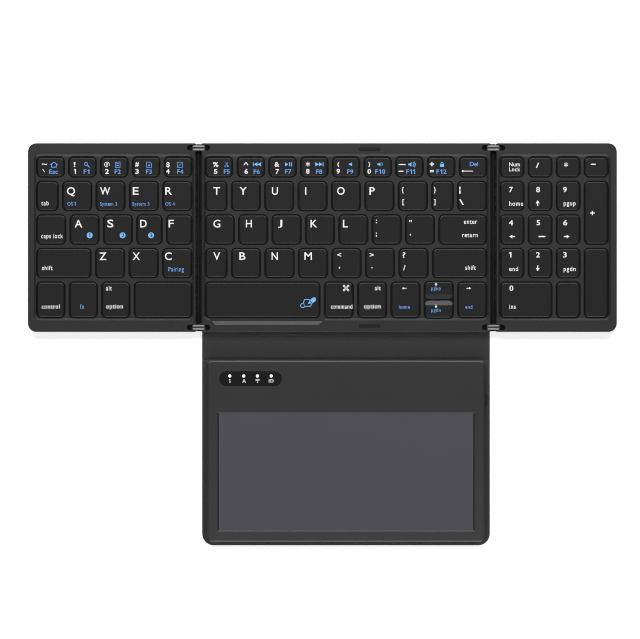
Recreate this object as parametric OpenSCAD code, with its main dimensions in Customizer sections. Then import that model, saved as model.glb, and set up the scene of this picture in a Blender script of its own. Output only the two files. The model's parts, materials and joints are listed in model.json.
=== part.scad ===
// Folding keyboard in three key panels with a touchpad on a folding cover, laid open and flat.
// Origin: centre of the middle panel's footprint on the table. +X right, +Y rear, +Z up.

/* [Key blocks] */
// Width of the block of keys on the left panel
left_keys_w = 83.3; // [76:0.1:100]
// Width of one number pad key
pad_key_w = 12.1; // [11:0.05:16]
// Depth of the keys in the function row
function_row_h = 10.0; // [9.6:0.1:15]
// Depth of the keys in the three letter rows
letter_row_h = 15.1; // [12:0.1:20]
// Depth of the keys in the space bar row
space_row_h = 18.5; // [17.5:0.1:24]
// Gap between neighbouring key caps
key_gap = 3.1; // [2.2:0.1:4]
// Corner radius of a key cap
cap_r = 2.3; // [1.2:0.1:3.5]
// Clearance between a key cap and its hole
cap_clear = 0.75; // [0.25:0.05:0.8]
// Wall thickness of a key cap's skirt
cap_wall = 1.0; // [0.6:0.1:1.4]
// Thickness of a key cap's top
cap_top_t = 0.8; // [0.5:0.1:1]
// Height of a key cap from the foot of its skirt to its top
cap_h = 1.95; // [1.6:0.05:2]
// Width of the chamfer round a key cap's top
cap_chamfer = 0.45; // [0.2:0.05:0.8]
// Drop of that chamfer
cap_chamfer_drop = 0.25; // [0.1:0.05:0.5]
// How far a key is pressed down
key_travel = 1.2; // [0.6:0.1:1.3]
// Slope width on the facing edges of the up and down keys
arrow_slope_w = 2.5; // [1:0.1:3.5]
// Drop of that slope
arrow_slope_drop = 0.8; // [0.3:0.1:0.9]
// Gap between the up key and the down key
arrow_gap = 0.9; // [0.5:0.1:2]
// How far the up and down keys reach past their row
arrow_reach = 0.4; // [0:0.1:0.6]

/* [Key widths] */
// Width of the tab, T, V and right bracket keys, as a share of a letter key
narrow_key = 0.73; // [0.65:0.01:1]
// Width of the D and F keys, as a share of a letter key
short_home_key = 0.87; // [0.7:0.01:1]
// Width of the left shift key, in letter keys
left_shift_key = 1.9; // [1.2:0.05:2.5]
// Width of the left space key, in letter keys
left_space_key_w = 2.1; // [1.2:0.05:2.5]
// Width of the enter key, in letter keys
enter_key_w = 1.68; // [1.2:0.02:2.2]
// Width of the right shift key, in letter keys
right_shift_key = 1.9; // [1.2:0.05:2.5]
// Width of the main space bar, in letter keys
space_bar_w = 4.1; // [3:0.1:5]

/* [Panels] */
// Distance from a key block to its fold line
fold_margin = 4.05; // [4:0.05:6]
// Distance from a key block to a side panel's outer edge
outer_margin = 5.1; // [4.5:0.1:8]
// Distance from the key block to a panel's rear edge
rear_margin = 7.9; // [7.6:0.1:11]
// Distance from the key block to a panel's front edge
front_margin = 8.15; // [7.6:0.05:11]
// Gap between the two side panels when both are folded over
meet_gap = 0.5; // [0.2:0.1:2]
// Thickness of a key panel's case
case_t = 4.8; // [4.7:0.05:5.4]
// Thickness of the case floor
floor_t = 0.7; // [0.6:0.05:0.8]
// Thickness of the case side walls
wall_t = 1.2; // [0.8:0.1:1.4]
// Corner radius at the outer end of a side panel
corner_r = 4.6; // [2:0.1:8]
// Corner radius beside a fold line
fold_corner_r = 1.0; // [0.6:0.1:1.2]
// Chamfer round a panel's top edge
edge_chamfer = 0.5; // [0.2:0.05:0.8]
// Depth of the sunk key area below the bezel
well_depth = 0.9; // [0.85:0.05:1]
// Width of the slope round the sunk key area
well_slope_w = 1.2; // [0.6:0.1:1.8]
// Distance from the key caps to the foot of that slope
well_margin = 0.7; // [0.5:0.1:1.2]
// Corner radius of the sunk key area at its rim
well_r = 3.4; // [2.5:0.1:5]
// Thickness of the web between the keys
web_t = 0.8; // [0.6:0.05:0.9]
// How far the key caps lie below the bezel
cap_drop = 0.15; // [0.05:0.05:0.3]
// Depth of the sloped thumb rest in front of the space bar
thumb_depth = 3.6; // [2:0.1:4]
// Width of the thumb rest's slope
thumb_slope_w = 2.0; // [1:0.1:3.5]
// How far each end of the thumb rest leans inwards
thumb_lean = 3.6; // [1:0.1:6]

/* [Folding hinges] */
// Distance from a fold line to each of its two hinge axes
axis_offset = 2.3; // [2.25:0.05:2.6]
// Gap between the faces of two panels folded together
fold_gap = 0.3; // [0.2:0.05:0.6]
// Distance from a fold line to the side wall of a panel
fold_wall_gap = 1.3; // [1.25:0.05:1.4]
// Rounding of a panel's top edge beside a fold line
fold_round = 1.2; // [1.1:0.05:1.3]
// Distance from a panel's end to the middle of a hinge link
hinge_inset = 2.5; // [2.4:0.05:2.6]
// Width of a hinge link
link_w = 2.7; // [2.2:0.1:2.8]
// Radius of a link's rounded ends
link_end_r = 1.85; // [1.5:0.05:1.9]
// Clearance between a link and the sides of its slot
link_side_clear = 0.15; // [0.1:0.05:0.2]
// Clearance between a link and the floor of its slot
link_floor_clear = 0.2; // [0.1:0.05:0.25]
// Length of a link's slot from the fold line
slot_len = 6.3; // [5:0.1:8]
// Width of the groove along a link's top
link_groove_w = 0.9; // [0.3:0.1:1]
// Depth of that groove
link_groove_depth = 0.4; // [0.1:0.05:0.4]
// Radius of a hinge pin
pin_r = 0.75; // [0.5:0.05:0.9]
// Radial running clearance of a hinge pin
pin_clear = 0.05; // [0.03:0.01:0.08]
// Thickness of the upright ear of a hinge bracket
ear_t = 0.8; // [0.6:0.05:0.9]
// Height of an ear above its hinge axis
ear_rise = 1.2; // [1.1:0.05:1.3]
// Thickness of a hinge bracket's foot
foot_t = 0.5; // [0.4:0.05:0.6]
// Radius of a bracket screw's head
bracket_head_r = 0.75; // [0.6:0.05:0.8]
// Radius of a bracket screw's shank
bracket_shank_r = 0.45; // [0.3:0.05:0.5]

/* [Spine and cables] */
// Width of the rib between the panels
rib_w = 0.8; // [0.6:0.1:1]
// Length of the bridge over the flat cable
bridge_len = 20.8; // [16:0.1:30]
// Width of that bridge
bridge_w = 2.1; // [1.6:0.05:2.15]
// Width of the flat cable
cable_w = 18; // [12:0.5:20]
// Thickness of the flat cable
cable_t = 0.2; // [0.1:0.05:0.25]

/* [Inside the panels] */
// Thickness of the steel support plate
plate_t = 0.3; // [0.2:0.05:0.4]
// Thickness of the membrane circuit
membrane_t = 0.3; // [0.2:0.05:0.35]
// Radius of a rubber dome at its foot
dome_r = 2.4; // [1.5:0.1:2.8]
// Half the length of a key's scissor levers
scissor_half = 4.0; // [3.4:0.1:4.2]
// Half the spacing of a key's scissor levers
scissor_spread = 3.1; // [3:0.1:3.2]
// Thickness of the controller board
board_t = 0.8; // [0.6:0.1:1]
// Radius of a screw post
post_r = 1.7; // [1.5:0.1:1.9]
// Radius of a case screw's shank
screw_r = 0.6; // [0.4:0.05:0.8]
// Radius of a case screw's head
screw_head_r = 1.1; // [1:0.05:1.3]
// Thickness of a case screw's head
screw_head_t = 0.4; // [0.3:0.05:0.5]
// Length of a bumper on the bezel
bumper_len = 11.8; // [6:0.1:20]
// Width of a bumper
bumper_w = 1.7; // [1.2:0.1:2.6]
// Height that a bumper stands above the bezel
bumper_stand = 0.2; // [0.1:0.02:0.22]
// Depth that a bumper is let into the bezel
bumper_sunk = 0.6; // [0.3:0.1:1]
// Width of a rubber foot
foot_w = 5; // [3:0.5:8]

/* [Cover and touchpad] */
// Thickness of the cover sheet, and of the rubber feet
cover_t = 1.0; // [0.8:0.05:1.4]
// Distance from a fold line to the side of the cover
cover_inset = 1.85; // [1.6:0.05:4]
// Gap between the case and the cover's front fold
cover_gap = 0.3; // [0.2:0.05:1]
// Half the slit between two stiff parts of the cover
cover_slit = 0.15; // [0.1:0.05:0.4]
// Room above the folded panels when the touchpad is closed over them
close_clear = 0.4; // [0.2:0.1:2]
// Length of the touchpad housing, front to rear
pad_len = 98.3; // [80:0.1:99]
// Thickness of the touchpad housing
pad_t = 3.7; // [3.6:0.05:6]
// Corner radius of the touchpad housing
pad_r = 2.5; // [1.5:0.1:5]
// Width of the slope round the top of the touchpad's housing
pad_slope_w = 0.8; // [0.3:0.05:1]
// Drop of that slope
pad_slope_drop = 0.35; // [0.2:0.05:0.6]
// Clearance between the touchpad housing and the cover's rear fold
pad_fold_clear = 0.3; // [0.2:0.05:1]
// Distance from the housing to the side of the cover
pad_side_rim = 2.75; // [1:0.05:6]
// Distance from the housing to the front of the cover
pad_front_rim = 1.95; // [1:0.05:6]
// Corner radius of the cover
cover_r = 5.3; // [2:0.1:8]
// Width of the touch surface
touch_w = 139; // [100:0.5:141]
// Length of the touch surface, front to rear
touch_len = 63.5; // [50:0.5:65]
// Distance from the touch surface to the front of the housing
touch_front = 6.3; // [4:0.1:8]
// Thickness of the touch surface
touch_t = 0.5; // [0.4:0.05:0.6]
// How far the touch surface lies below the housing
touch_drop = 0.3; // [0.1:0.05:0.4]
// Width of the slope round the touch surface
touch_slope_w = 0.6; // [0.3:0.1:1]
// Thickness of the top of the touchpad housing
pad_top_t = 1.5; // [1.4:0.05:1.6]
// Thickness of the housing's side walls
pad_wall_t = 1.3; // [1:0.1:2]
// Width of the ledge that carries the touch surface
touch_ledge = 2; // [1:0.1:3]

/* [Indicators, switch and port] */
// Length of the indicator window
window_len = 33.9; // [30:0.1:45]
// Width of the indicator window
window_w = 7.95; // [6:0.05:12]
// Thickness of the indicator window
window_t = 0.5; // [0.3:0.05:0.6]
// Distance from the window to the housing's left side
window_left = 6.6; // [4:0.1:12]
// Distance from the window to the housing's rear edge
window_rear = 5.8; // [4:0.1:8]
// Spacing of the four lights
light_pitch = 7.5; // [6:0.1:9]
// Radius of a light's hole
light_r = 1.05; // [0.6:0.05:1.4]
// Length of the power switch's knob
knob_len = 3.8; // [3:0.1:6]
// Height of the power switch's knob
knob_h = 1.6; // [1.2:0.1:1.8]
// How far the knob stands out of the housing
knob_stand = 1.5; // [0.8:0.1:2]
// Travel of the power switch
switch_travel = 2; // [1:0.1:3]
// Distance from the knob to the housing's rear edge
switch_rear = 18.2; // [17:0.1:24]
// Width of the charging port's metal shell
port_w = 8.9; // [8.7:0.05:9.2]
// Height of that shell
port_h = 3.0; // [2.8:0.05:3.2]
// Depth of that shell
port_depth = 6.5; // [5:0.1:8]
// Distance from the port's middle to the housing's rear edge
port_rear = 9.4; // [8:0.1:11]
// Thickness of the battery
battery_t = 1.9; // [1.2:0.1:2.1]
// Width of the battery
battery_w = 80; // [40:1:120]
// Length of the battery, front to rear
battery_len = 44; // [30:1:50]

/* [Hidden] */
$fn = 48;
// Allowance by which a cutting shape passes the face it opens
cut = 1;

// Heights above the table
case_z = cover_t;
top_z = cover_t + case_t;
floor_z = case_z + floor_t;
plate_top_z = floor_z + plate_t;
membrane_top_z = plate_top_z + membrane_t;
mechanism_z = membrane_top_z + 0.02;
web_top_z = top_z - well_depth;
web_z = web_top_z - web_t;
cap_top_z = top_z - cap_drop;
cap_z = cap_top_z - cap_h;
ceiling_z = cap_top_z - cap_top_t;
axis_z = top_z - axis_offset + fold_gap / 2;

// Key rows from rear to front, each as [front, rear]
row_heights = [function_row_h, letter_row_h, letter_row_h, letter_row_h, space_row_h];
keys_depth = sum(row_heights) + 4 * key_gap;
panel_depth = keys_depth + rear_margin + front_margin;
end_y = panel_depth / 2;
keys_rear_y = end_y - rear_margin;
keys_front_y = -end_y + front_margin;
rows = [for (i = [0:4]) let (rear = keys_rear_y - sum_first(row_heights, i) - i * key_gap)
    [rear - row_heights[i], rear]];

// Panel widths: the two side panels just cover the middle one
right_keys_w = 4 * pad_key_w + 3 * key_gap;
left_w = left_keys_w + fold_margin + outer_margin;
right_w = right_keys_w + fold_margin + outer_margin;
fold_x = (left_w + right_w + meet_gap) / 2;
centre_keys = [-fold_x + fold_margin, fold_x - fold_margin];
left_keys = [-fold_x - fold_margin - left_keys_w, -fold_x - fold_margin];
right_keys = [fold_x + fold_margin, fold_x + fold_margin + right_keys_w];
centre_wall_x = fold_x - fold_wall_gap;
left_panel = [-fold_x - left_w, -fold_x - fold_wall_gap];
right_panel = [fold_x + fold_wall_gap, fold_x + right_w];
centre_panel = [-centre_wall_x, centre_wall_x];

// Hinges
hinge_y = end_y - hinge_inset;
slot_w = link_w + 2 * link_side_clear;
slot_z = axis_z - link_end_r - link_floor_clear;
slot_inner_y = hinge_y - slot_w / 2;
pin_len = slot_w + 2 * ear_t;
ear_front_y = slot_inner_y - ear_t;
block_wall = 0.7;
block_y = ear_front_y - block_wall;
block_len = slot_len + 1;
ear_near = axis_offset - 0.7;
ear_far = axis_offset + 2.4;
foot_near = axis_offset + 0.3;
foot_front_y = keys_rear_y + 0.5;
bracket_screw_x = (foot_near + ear_far) / 2;
bracket_screw_y = foot_front_y + bracket_head_r + 0.25;
bracket_head_t = 0.4;
bracket_shank_len = 1.0;

// Spine: a rib on a base that closes the gap. Its heights keep it clear of the turning panels
rib_z = cover_t + 0.4;
rib_top_z = axis_z - 0.85;
bridge_z = cover_t + 0.3;
bridge_top_z = axis_z - 1.15;
base_half = fold_wall_gap - 0.1;
base_top_z = bridge_z + 0.7;
sole_top_z = axis_z - link_end_r - 0.05;
spine_end_y = end_y - 0.4;
cable_z = floor_z;
cable_reach = 3.4;
cable_room = 0.1;
plate_gap = 3.5;

// Screw posts, controller board and bumpers of the middle panel
post_y = end_y - wall_t - post_r - 0.3;
post_inset = 12;
post_xs = [-fold_x + post_inset, 0, fold_x - post_inset];
screw_top_z = top_z - 1.2;
board_start_x = 6;
board_end_gap = 20;
board_x = [board_start_x, fold_x - board_end_gap];
board_y = [-end_y + wall_t + 0.2, keys_front_y - 0.9];
bumper_x = -fold_x + left_w + meet_gap / 2;

// Cover and touchpad
cover_half = fold_x - cover_inset;
flap_axis_y = -end_y - cover_gap;
stack_top_z = 2 * top_z + fold_gap;
flap_len = stack_top_z + close_clear + pad_t - cover_t;
pad_axis_y = flap_axis_y - flap_len;
pad_rear_y = pad_axis_y - pad_fold_clear;
pad_front_y = pad_rear_y - pad_len;
pad_half = cover_half - pad_side_rim;
pad_top_z = cover_t + pad_t;
pad_ceiling_z = pad_top_z - pad_top_t;
touch_top_z = pad_top_z - touch_drop;
touch_z = touch_top_z - touch_t;
touch_y = [pad_front_y + touch_front, pad_front_y + touch_front + touch_len];
window_x = [-pad_half + window_left, -pad_half + window_left + window_len];
window_y = [pad_rear_y - window_rear - window_w, pad_rear_y - window_rear];
window_room = 0.04;
light_y = window_y[1] - 2.5;
light_x = (window_x[0] + window_x[1]) / 2 - 1.5 * light_pitch;
rear_board_z = cover_t + 0.6;
rear_board_t = 0.6;
rear_board_y = [touch_y[1] + 3, pad_rear_y - pad_wall_t - 1];
switch_z = cover_t + 1.75;
stem_h = 1.0;
stem_len = 2.2;
port_y = pad_rear_y - port_rear;
port_x = pad_half - port_depth - 0.2;
port_room = 0.1;

function sum_first(list, n) = n <= 0 ? 0 : list[n - 1] + sum_first(list, n - 1);
function sum(list) = sum_first(list, len(list));

// Key rectangles [left, right, front, rear]: the shares fill one row from edge to edge, in whole
// hundredths so that a cap and its hole share exact edges
function hundredths(v) = round(v * 100) / 100;
function row_of_keys(edges, shares, row) =
    let (n = len(shares), unit = (edges[1] - edges[0] - (n - 1) * key_gap) / sum(shares))
    [for (i = [0:n - 1]) let (x = edges[0] + sum_first(shares, i) * unit + i * key_gap)
        [hundredths(x), hundredths(x + shares[i] * unit), rows[row][0], rows[row][1]]];
function slice(list, first, last) = [for (i = [first:last]) list[i]];
function pad_column(i) = right_keys[0] + i * (pad_key_w + key_gap);
function pad_key(column, last_column, row, last_row) =
    [pad_column(column), pad_column(last_column) + pad_key_w, rows[last_row][0], rows[row][1]];

left_function = row_of_keys(left_keys, [1, 1, 1, 1, 1], 0);
left_upper = row_of_keys(left_keys, [narrow_key, 1, 1, 1, 1], 1);
left_home = row_of_keys(left_keys, [1, 1, 1, short_home_key, short_home_key], 2);
left_lower = row_of_keys(left_keys, [left_shift_key, 1, 1, 1], 3);
left_bottom = row_of_keys(left_keys, [1, 1, 1, left_space_key_w], 4);
centre_function = row_of_keys(centre_keys, [1, 1, 1, 1, 1, 1, 1, 1, 1], 0);
centre_upper = row_of_keys(centre_keys, [narrow_key, 1, 1, 1, 1, 1, 1, narrow_key, 1], 1);
centre_home = row_of_keys(centre_keys, [1, 1, 1, 1, 1, 1, 1, enter_key_w], 2);
centre_lower = row_of_keys(centre_keys, [narrow_key, 1, 1, 1, 1, 1, 1, right_shift_key], 3);
centre_bottom = row_of_keys(centre_keys, [space_bar_w, 1, 1, 1, 1, 1], 4);
centre_modifiers = concat(slice(centre_bottom, 1, 3), [centre_bottom[5]]);
arrow_hole = [centre_bottom[4][0], centre_bottom[4][1],
    centre_bottom[4][2] - arrow_reach, centre_bottom[4][3] + arrow_reach];
arrow_mid_y = (arrow_hole[2] + arrow_hole[3]) / 2;
up_rect = [arrow_hole[0], arrow_hole[1], arrow_mid_y + arrow_gap / 2, arrow_hole[3]];
down_rect = [arrow_hole[0], arrow_hole[1], arrow_hole[2], arrow_mid_y - arrow_gap / 2];
pad_top = [for (i = [0:3]) pad_key(i, i, 0, 0)];
pad_789 = [for (i = [0:2]) pad_key(i, i, 1, 1)];
pad_456 = [for (i = [0:2]) pad_key(i, i, 2, 2)];
pad_123 = [for (i = [0:2]) pad_key(i, i, 3, 3)];
pad_zero = [pad_key(0, 1, 4, 4), pad_key(2, 2, 4, 4)];
pad_plus = [pad_key(3, 3, 1, 2)];
pad_enter = [pad_key(3, 3, 3, 4)];

left_all = concat(left_function, left_upper, left_home, left_lower, left_bottom);
centre_plain = concat(centre_function, centre_upper, centre_home, centre_lower, [centre_bottom[0]],
    centre_modifiers);
right_all = concat(pad_top, pad_789, pad_456, pad_123, pad_zero, pad_plus, pad_enter);

// Flat outline with its own corner radius at the left end and at the right end
module outline(x, y, left_r, right_r) {
    middle = (x[0] + x[1]) / 2;
    translate([x[0] + left_r, y[0]]) square([x[1] - x[0] - left_r - right_r, y[1] - y[0]]);
    translate([x[0], y[0] + left_r]) square([middle - x[0], y[1] - y[0] - 2 * left_r]);
    translate([middle - 1, y[0] + right_r]) square([x[1] - middle + 1, y[1] - y[0] - 2 * right_r]);
    for (corner_y = [y[0] + left_r, y[1] - left_r]) translate([x[0] + left_r, corner_y]) circle(left_r);
    for (corner_y = [y[0] + right_r, y[1] - right_r]) translate([x[1] - right_r, corner_y]) circle(right_r);
}

module plate(x, y, z, left_r, right_r) {
    translate([0, 0, z[0]]) linear_extrude(z[1] - z[0]) outline(x, y, left_r, right_r);
}

module box(x, y, z) {
    translate([x[0], y[0], z[0]]) cube([x[1] - x[0], y[1] - y[0], z[1] - z[0]]);
}

// Slab whose top edge slopes in by slope over drop all round
module sloped_slab(x, y, z, left_r, right_r, slope, drop) {
    middle = (x[0] + x[1]) / 2;
    shoulder = z[1] - drop;
    translate([x[0] + left_r, 0, 0]) rotate([90, 0, 90]) linear_extrude(x[1] - x[0] - left_r - right_r)
        polygon([[y[0], z[0]], [y[1], z[0]], [y[1], shoulder], [y[1] - slope, z[1]],
            [y[0] + slope, z[1]], [y[0], shoulder]]);
    translate([0, y[1] - left_r, 0]) rotate([90, 0, 0]) linear_extrude(y[1] - y[0] - 2 * left_r)
        polygon([[x[0], z[0]], [middle, z[0]], [middle, z[1]], [x[0] + slope, z[1]], [x[0], shoulder]]);
    translate([0, y[1] - right_r, 0]) rotate([90, 0, 0]) linear_extrude(y[1] - y[0] - 2 * right_r)
        polygon([[middle - 1, z[0]], [x[1], z[0]], [x[1], shoulder], [x[1] - slope, z[1]],
            [middle - 1, z[1]]]);
    for (corner_y = [y[0] + left_r, y[1] - left_r])
        translate([x[0] + left_r, corner_y, z[0]]) sloped_post(left_r, z[1] - z[0], slope, drop);
    for (corner_y = [y[0] + right_r, y[1] - right_r])
        translate([x[1] - right_r, corner_y, z[0]]) sloped_post(right_r, z[1] - z[0], slope, drop);
}

module sloped_post(r, h, slope, drop) {
    cylinder(r = r, h = h - drop);
    translate([0, 0, h - drop]) cylinder(r1 = r, r2 = r - slope, h = drop);
}

// Pocket whose rim slopes out to x and y at the top, over the given depth
module sloped_pocket(x, y, top, depth, left_r, right_r, slope) {
    translate([0, 0, top]) mirror([0, 0, 1])
        sloped_slab(x, y, [0, depth], left_r, right_r, slope, depth);
    plate(x, y, [top - 0.001, top + cut], left_r, right_r);
}

// Key caps

module cap(rect) {
    difference() {
        sloped_slab([rect[0], rect[1]], [rect[2], rect[3]], [cap_z, cap_top_z], cap_r, cap_r,
            cap_chamfer, cap_chamfer_drop);
        box([rect[0] + cap_wall, rect[1] - cap_wall], [rect[2] + cap_wall, rect[3] - cap_wall],
            [cap_z - cut, ceiling_z]);
    }
}

module caps(rects) {
    color([0.16, 0.16, 0.165]) for (rect = rects) cap(rect);
}

// An arrow key has a wide slope along the edge that faces the other arrow key
module arrow_cap(rect, facing_y, inwards) {
    slope_y = facing_y + inwards * arrow_slope_w;
    past_y = facing_y - inwards * 0.3;
    low_z = cap_top_z - arrow_slope_drop;
    color([0.16, 0.16, 0.165]) difference() {
        cap(rect);
        translate([rect[0] - cut, 0, 0]) rotate([90, 0, 90]) linear_extrude(rect[1] - rect[0] + 2 * cut)
            polygon([[slope_y, cap_top_z], [facing_y, low_z], [past_y, low_z],
                [past_y, cap_top_z + cut], [slope_y, cap_top_z + cut]]);
    }
}

module key_holes(rects) {
    for (rect = rects)
        plate([rect[0] - cap_clear, rect[1] + cap_clear], [rect[2] - cap_clear, rect[3] + cap_clear],
            [web_z - cut, top_z + cut], cap_r + cap_clear, cap_r + cap_clear);
}

// Rubber dome and scissor levers under each key, a hair above the membrane so that each is a piece
module key_mechanisms(rects) {
    color([0.75, 0.75, 0.72]) for (rect = rects)
        translate([(rect[0] + rect[1]) / 2, (rect[2] + rect[3]) / 2, mechanism_z]) {
            dome();
            scissor();
        }
}

module dome() {
    h = ceiling_z - mechanism_z;
    rim = 0.3;
    inner_r = dome_r - 0.5;
    crown_r = dome_r - 0.9;
    difference() {
        union() {
            cylinder(r1 = dome_r, r2 = crown_r, h = h - rim);
            translate([0, 0, h - rim]) cylinder(r = crown_r, h = rim);
        }
        translate([0, 0, -cut]) cylinder(r = inner_r, h = cut + rim);
        translate([0, 0, rim - 0.001]) cylinder(r1 = inner_r, r2 = crown_r - rim, h = h - 3 * rim);
    }
}

module scissor() {
    h = ceiling_z - mechanism_z;
    lever_t = 0.45;
    lever_w = 0.6;
    toe_x = scissor_half - 0.8;
    bar_x = scissor_half - lever_w / 2;
    for (side = [-1, 1]) translate([0, side * scissor_spread + lever_w / 2, 0])
        rotate([90, 0, 0]) linear_extrude(lever_w) {
            polygon([[-scissor_half, 0], [-toe_x, 0], [scissor_half, h - lever_t],
                [scissor_half, h], [toe_x, h], [-scissor_half, lever_t]]);
            polygon([[scissor_half, 0], [toe_x, 0], [-scissor_half, h - lever_t],
                [-scissor_half, h], [-toe_x, h], [scissor_half, lever_t]]);
        }
    for (x = [-bar_x, bar_x])
        box([x - lever_w / 2, x + lever_w / 2], [-scissor_spread, scissor_spread], [0, lever_t]);
}

// Cases. A panel's ends are [left, right], and folds says which of them lie on a fold line.

function end_radius(folds, i) = folds[i] ? fold_corner_r : corner_r;

module panel_solid(x, folds) {
    intersection() {
        sloped_slab(x, [-end_y, end_y], [case_z, top_z], end_radius(folds, 0), end_radius(folds, 1),
            edge_chamfer, edge_chamfer);
        translate([0, end_y + cut, 0]) rotate([90, 0, 0]) linear_extrude(panel_depth + 2 * cut)
            fold_profile(x, folds);
    }
}

// Cross-section of a panel with its top edge rounded at each fold line
module fold_profile(x, folds) {
    near = folds[0] ? x[0] + fold_round : x[0] - cut;
    far = folds[1] ? x[1] - fold_round : x[1] + cut;
    translate([near, case_z - cut]) square([far - near, case_t + 2 * cut]);
    if (folds[0]) {
        translate([x[0], case_z - cut]) square([fold_round + 1, case_t + cut - fold_round]);
        translate([near, top_z - fold_round]) circle(fold_round);
    }
    if (folds[1]) {
        translate([far - 1, case_z - cut]) square([fold_round + 1, case_t + cut - fold_round]);
        translate([far, top_z - fold_round]) circle(fold_round);
    }
}

// Runs its children for each hinge of one fold line; they are drawn for a panel that lies at +X
module at_hinges(line_x, side) {
    for (end = [-1, 1]) translate([line_x, 0, 0]) scale_sign(side, end) children();
}

module scale_sign(side, end) {
    mirror([side < 0 ? 1 : 0, 0, 0]) mirror([0, end < 0 ? 1 : 0, 0]) children();
}

module hinge_block(z) {
    box([-cut, block_len], [block_y, end_y + cut], z);
}

module hinge_cuts() {
    translate([0, 0, slot_z]) linear_extrude(case_t + cut) {
        translate([-cut, hinge_y - slot_w / 2]) square([slot_len - slot_w / 2 + cut, slot_w]);
        translate([slot_len - slot_w / 2, hinge_y]) circle(slot_w / 2);
    }
    translate([axis_offset, hinge_y + pin_len / 2 + pin_clear, axis_z]) rotate([90, 0, 0])
        cylinder(r = pin_r + pin_clear, h = pin_len + 2 * pin_clear);
    bracket_shape();
    translate([bracket_screw_x, bracket_screw_y, floor_z + foot_t - bracket_shank_len])
        cylinder(r = bracket_shank_r, h = bracket_shank_len);
}

module bracket_shape() {
    box([ear_near, ear_far], [ear_front_y, slot_inner_y], [floor_z, axis_z + ear_rise]);
    box([foot_near, ear_far], [foot_front_y, ear_front_y + 0.01], [floor_z, floor_z + foot_t]);
}

module hinge_bracket() {
    difference() {
        bracket_shape();
        translate([axis_offset, slot_inner_y + cut, axis_z]) rotate([90, 0, 0])
            cylinder(r = pin_r + pin_clear, h = ear_t + 2 * cut);
        translate([bracket_screw_x, bracket_screw_y, floor_z - cut])
            cylinder(r = bracket_shank_r, h = foot_t + 2 * cut);
    }
}

module bracket_screw() {
    translate([bracket_screw_x, bracket_screw_y, floor_z + foot_t]) {
        cylinder(r = bracket_head_r, h = bracket_head_t);
        translate([0, 0, -bracket_shank_len]) cylinder(r = bracket_shank_r, h = bracket_shank_len + 0.1);
    }
}

// Room inside a case between two heights, less the blocks round its hinges
module cavity(x, folds, z) {
    difference() {
        plate([x[0] + wall_t, x[1] - wall_t], [-end_y + wall_t, end_y - wall_t], z, fold_corner_r,
            fold_corner_r);
        if (folds[0]) at_hinges(x[0] - fold_wall_gap, 1) hinge_block([z[0] - cut, z[1] + cut]);
        if (folds[1]) at_hinges(x[1] + fold_wall_gap, -1) hinge_block([z[0] - cut, z[1] + cut]);
    }
}

module panel_cuts(x, folds) {
    if (folds[0]) at_hinges(x[0] - fold_wall_gap, 1) hinge_cuts();
    if (folds[1]) at_hinges(x[1] + fold_wall_gap, -1) hinge_cuts();
}

module cable_windows(x, folds) {
    reach = fold_wall_gap + wall_t + cut;
    for (i = [0, 1]) if (folds[i]) {
        line_x = i == 0 ? x[0] - fold_wall_gap : x[1] + fold_wall_gap;
        box([line_x - reach, line_x + reach], [-cable_w / 2 - 0.4, cable_w / 2 + 0.4],
            [floor_z, floor_z + cable_t + 2 * cable_room]);
    }
}

module bottom_case(x, folds, posts) {
    difference() {
        intersection() {
            panel_solid(x, folds);
            box([x[0] - cut, x[1] + cut], [-end_y - cut, end_y + cut], [case_z - cut, axis_z]);
        }
        difference() {
            cavity(x, folds, [floor_z, axis_z + cut]);
            if (posts) at_posts() cylinder(r = post_r, h = axis_z);
        }
        panel_cuts(x, folds);
        cable_windows(x, folds);
        if (posts) at_posts() case_screw_hole();
    }
}

module top_frame(x, folds, keys, rects, posts) {
    left_rim = folds[0] ? x[0] + fold_round + 0.1 : keys[0] - well_margin - well_slope_w;
    right_rim = folds[1] ? x[1] - fold_round - 0.1 : keys[1] + well_margin + well_slope_w;
    difference() {
        intersection() {
            panel_solid(x, folds);
            box([x[0] - cut, x[1] + cut], [-end_y - cut, end_y + cut], [axis_z, top_z + cut]);
        }
        difference() {
            cavity(x, folds, [axis_z - cut, web_z]);
            if (posts) at_posts() cylinder(r = post_r, h = top_z);
        }
        sloped_pocket([left_rim, right_rim],
            [keys_front_y - well_margin - well_slope_w, keys_rear_y + well_margin + well_slope_w],
            top_z, well_depth, well_r, well_r, well_slope_w);
        key_holes(rects);
        panel_cuts(x, folds);
        if (posts) at_posts() case_screw_hole();
    }
}

module at_posts() {
    for (x = post_xs, y = [-post_y, post_y]) translate([x, y, 0]) children();
}

module case_screw_hole() {
    translate([0, 0, case_z]) cylinder(r = screw_r, h = screw_top_z - case_z);
    translate([0, 0, case_z - cut]) cylinder(r = screw_head_r, h = screw_head_t + cut);
}

module case_screw() {
    translate([0, 0, case_z]) cylinder(r = screw_r, h = screw_top_z - case_z);
    translate([0, 0, case_z]) cylinder(r = screw_head_r, h = screw_head_t);
}

module support_plate(keys) {
    color([0.7, 0.7, 0.72]) box([keys[0] - fold_margin + plate_gap, keys[1] + fold_margin - plate_gap],
        [keys_front_y - 0.3, keys_rear_y + 0.3], [floor_z, plate_top_z]);
}

module membrane(keys) {
    box([keys[0] - fold_margin + plate_gap, keys[1] + fold_margin - plate_gap],
        [keys_front_y - 0.3, keys_rear_y + 0.3], [plate_top_z, membrane_top_z]);
}

// Middle panel

module back_cover() {
    color([0.2, 0.2, 0.21]) box([-cover_half, cover_half], [flap_axis_y + cover_slit, end_y - 0.6],
        [0, cover_t]);
}

module centre_bottom_case() {
    color([0.2, 0.2, 0.21]) bottom_case(centre_panel, [true, true], true);
}

module centre_support_plate() {
    support_plate(centre_keys);
}

module centre_membrane() {
    color([0.3, 0.5, 0.35]) membrane(centre_keys);
}

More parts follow.
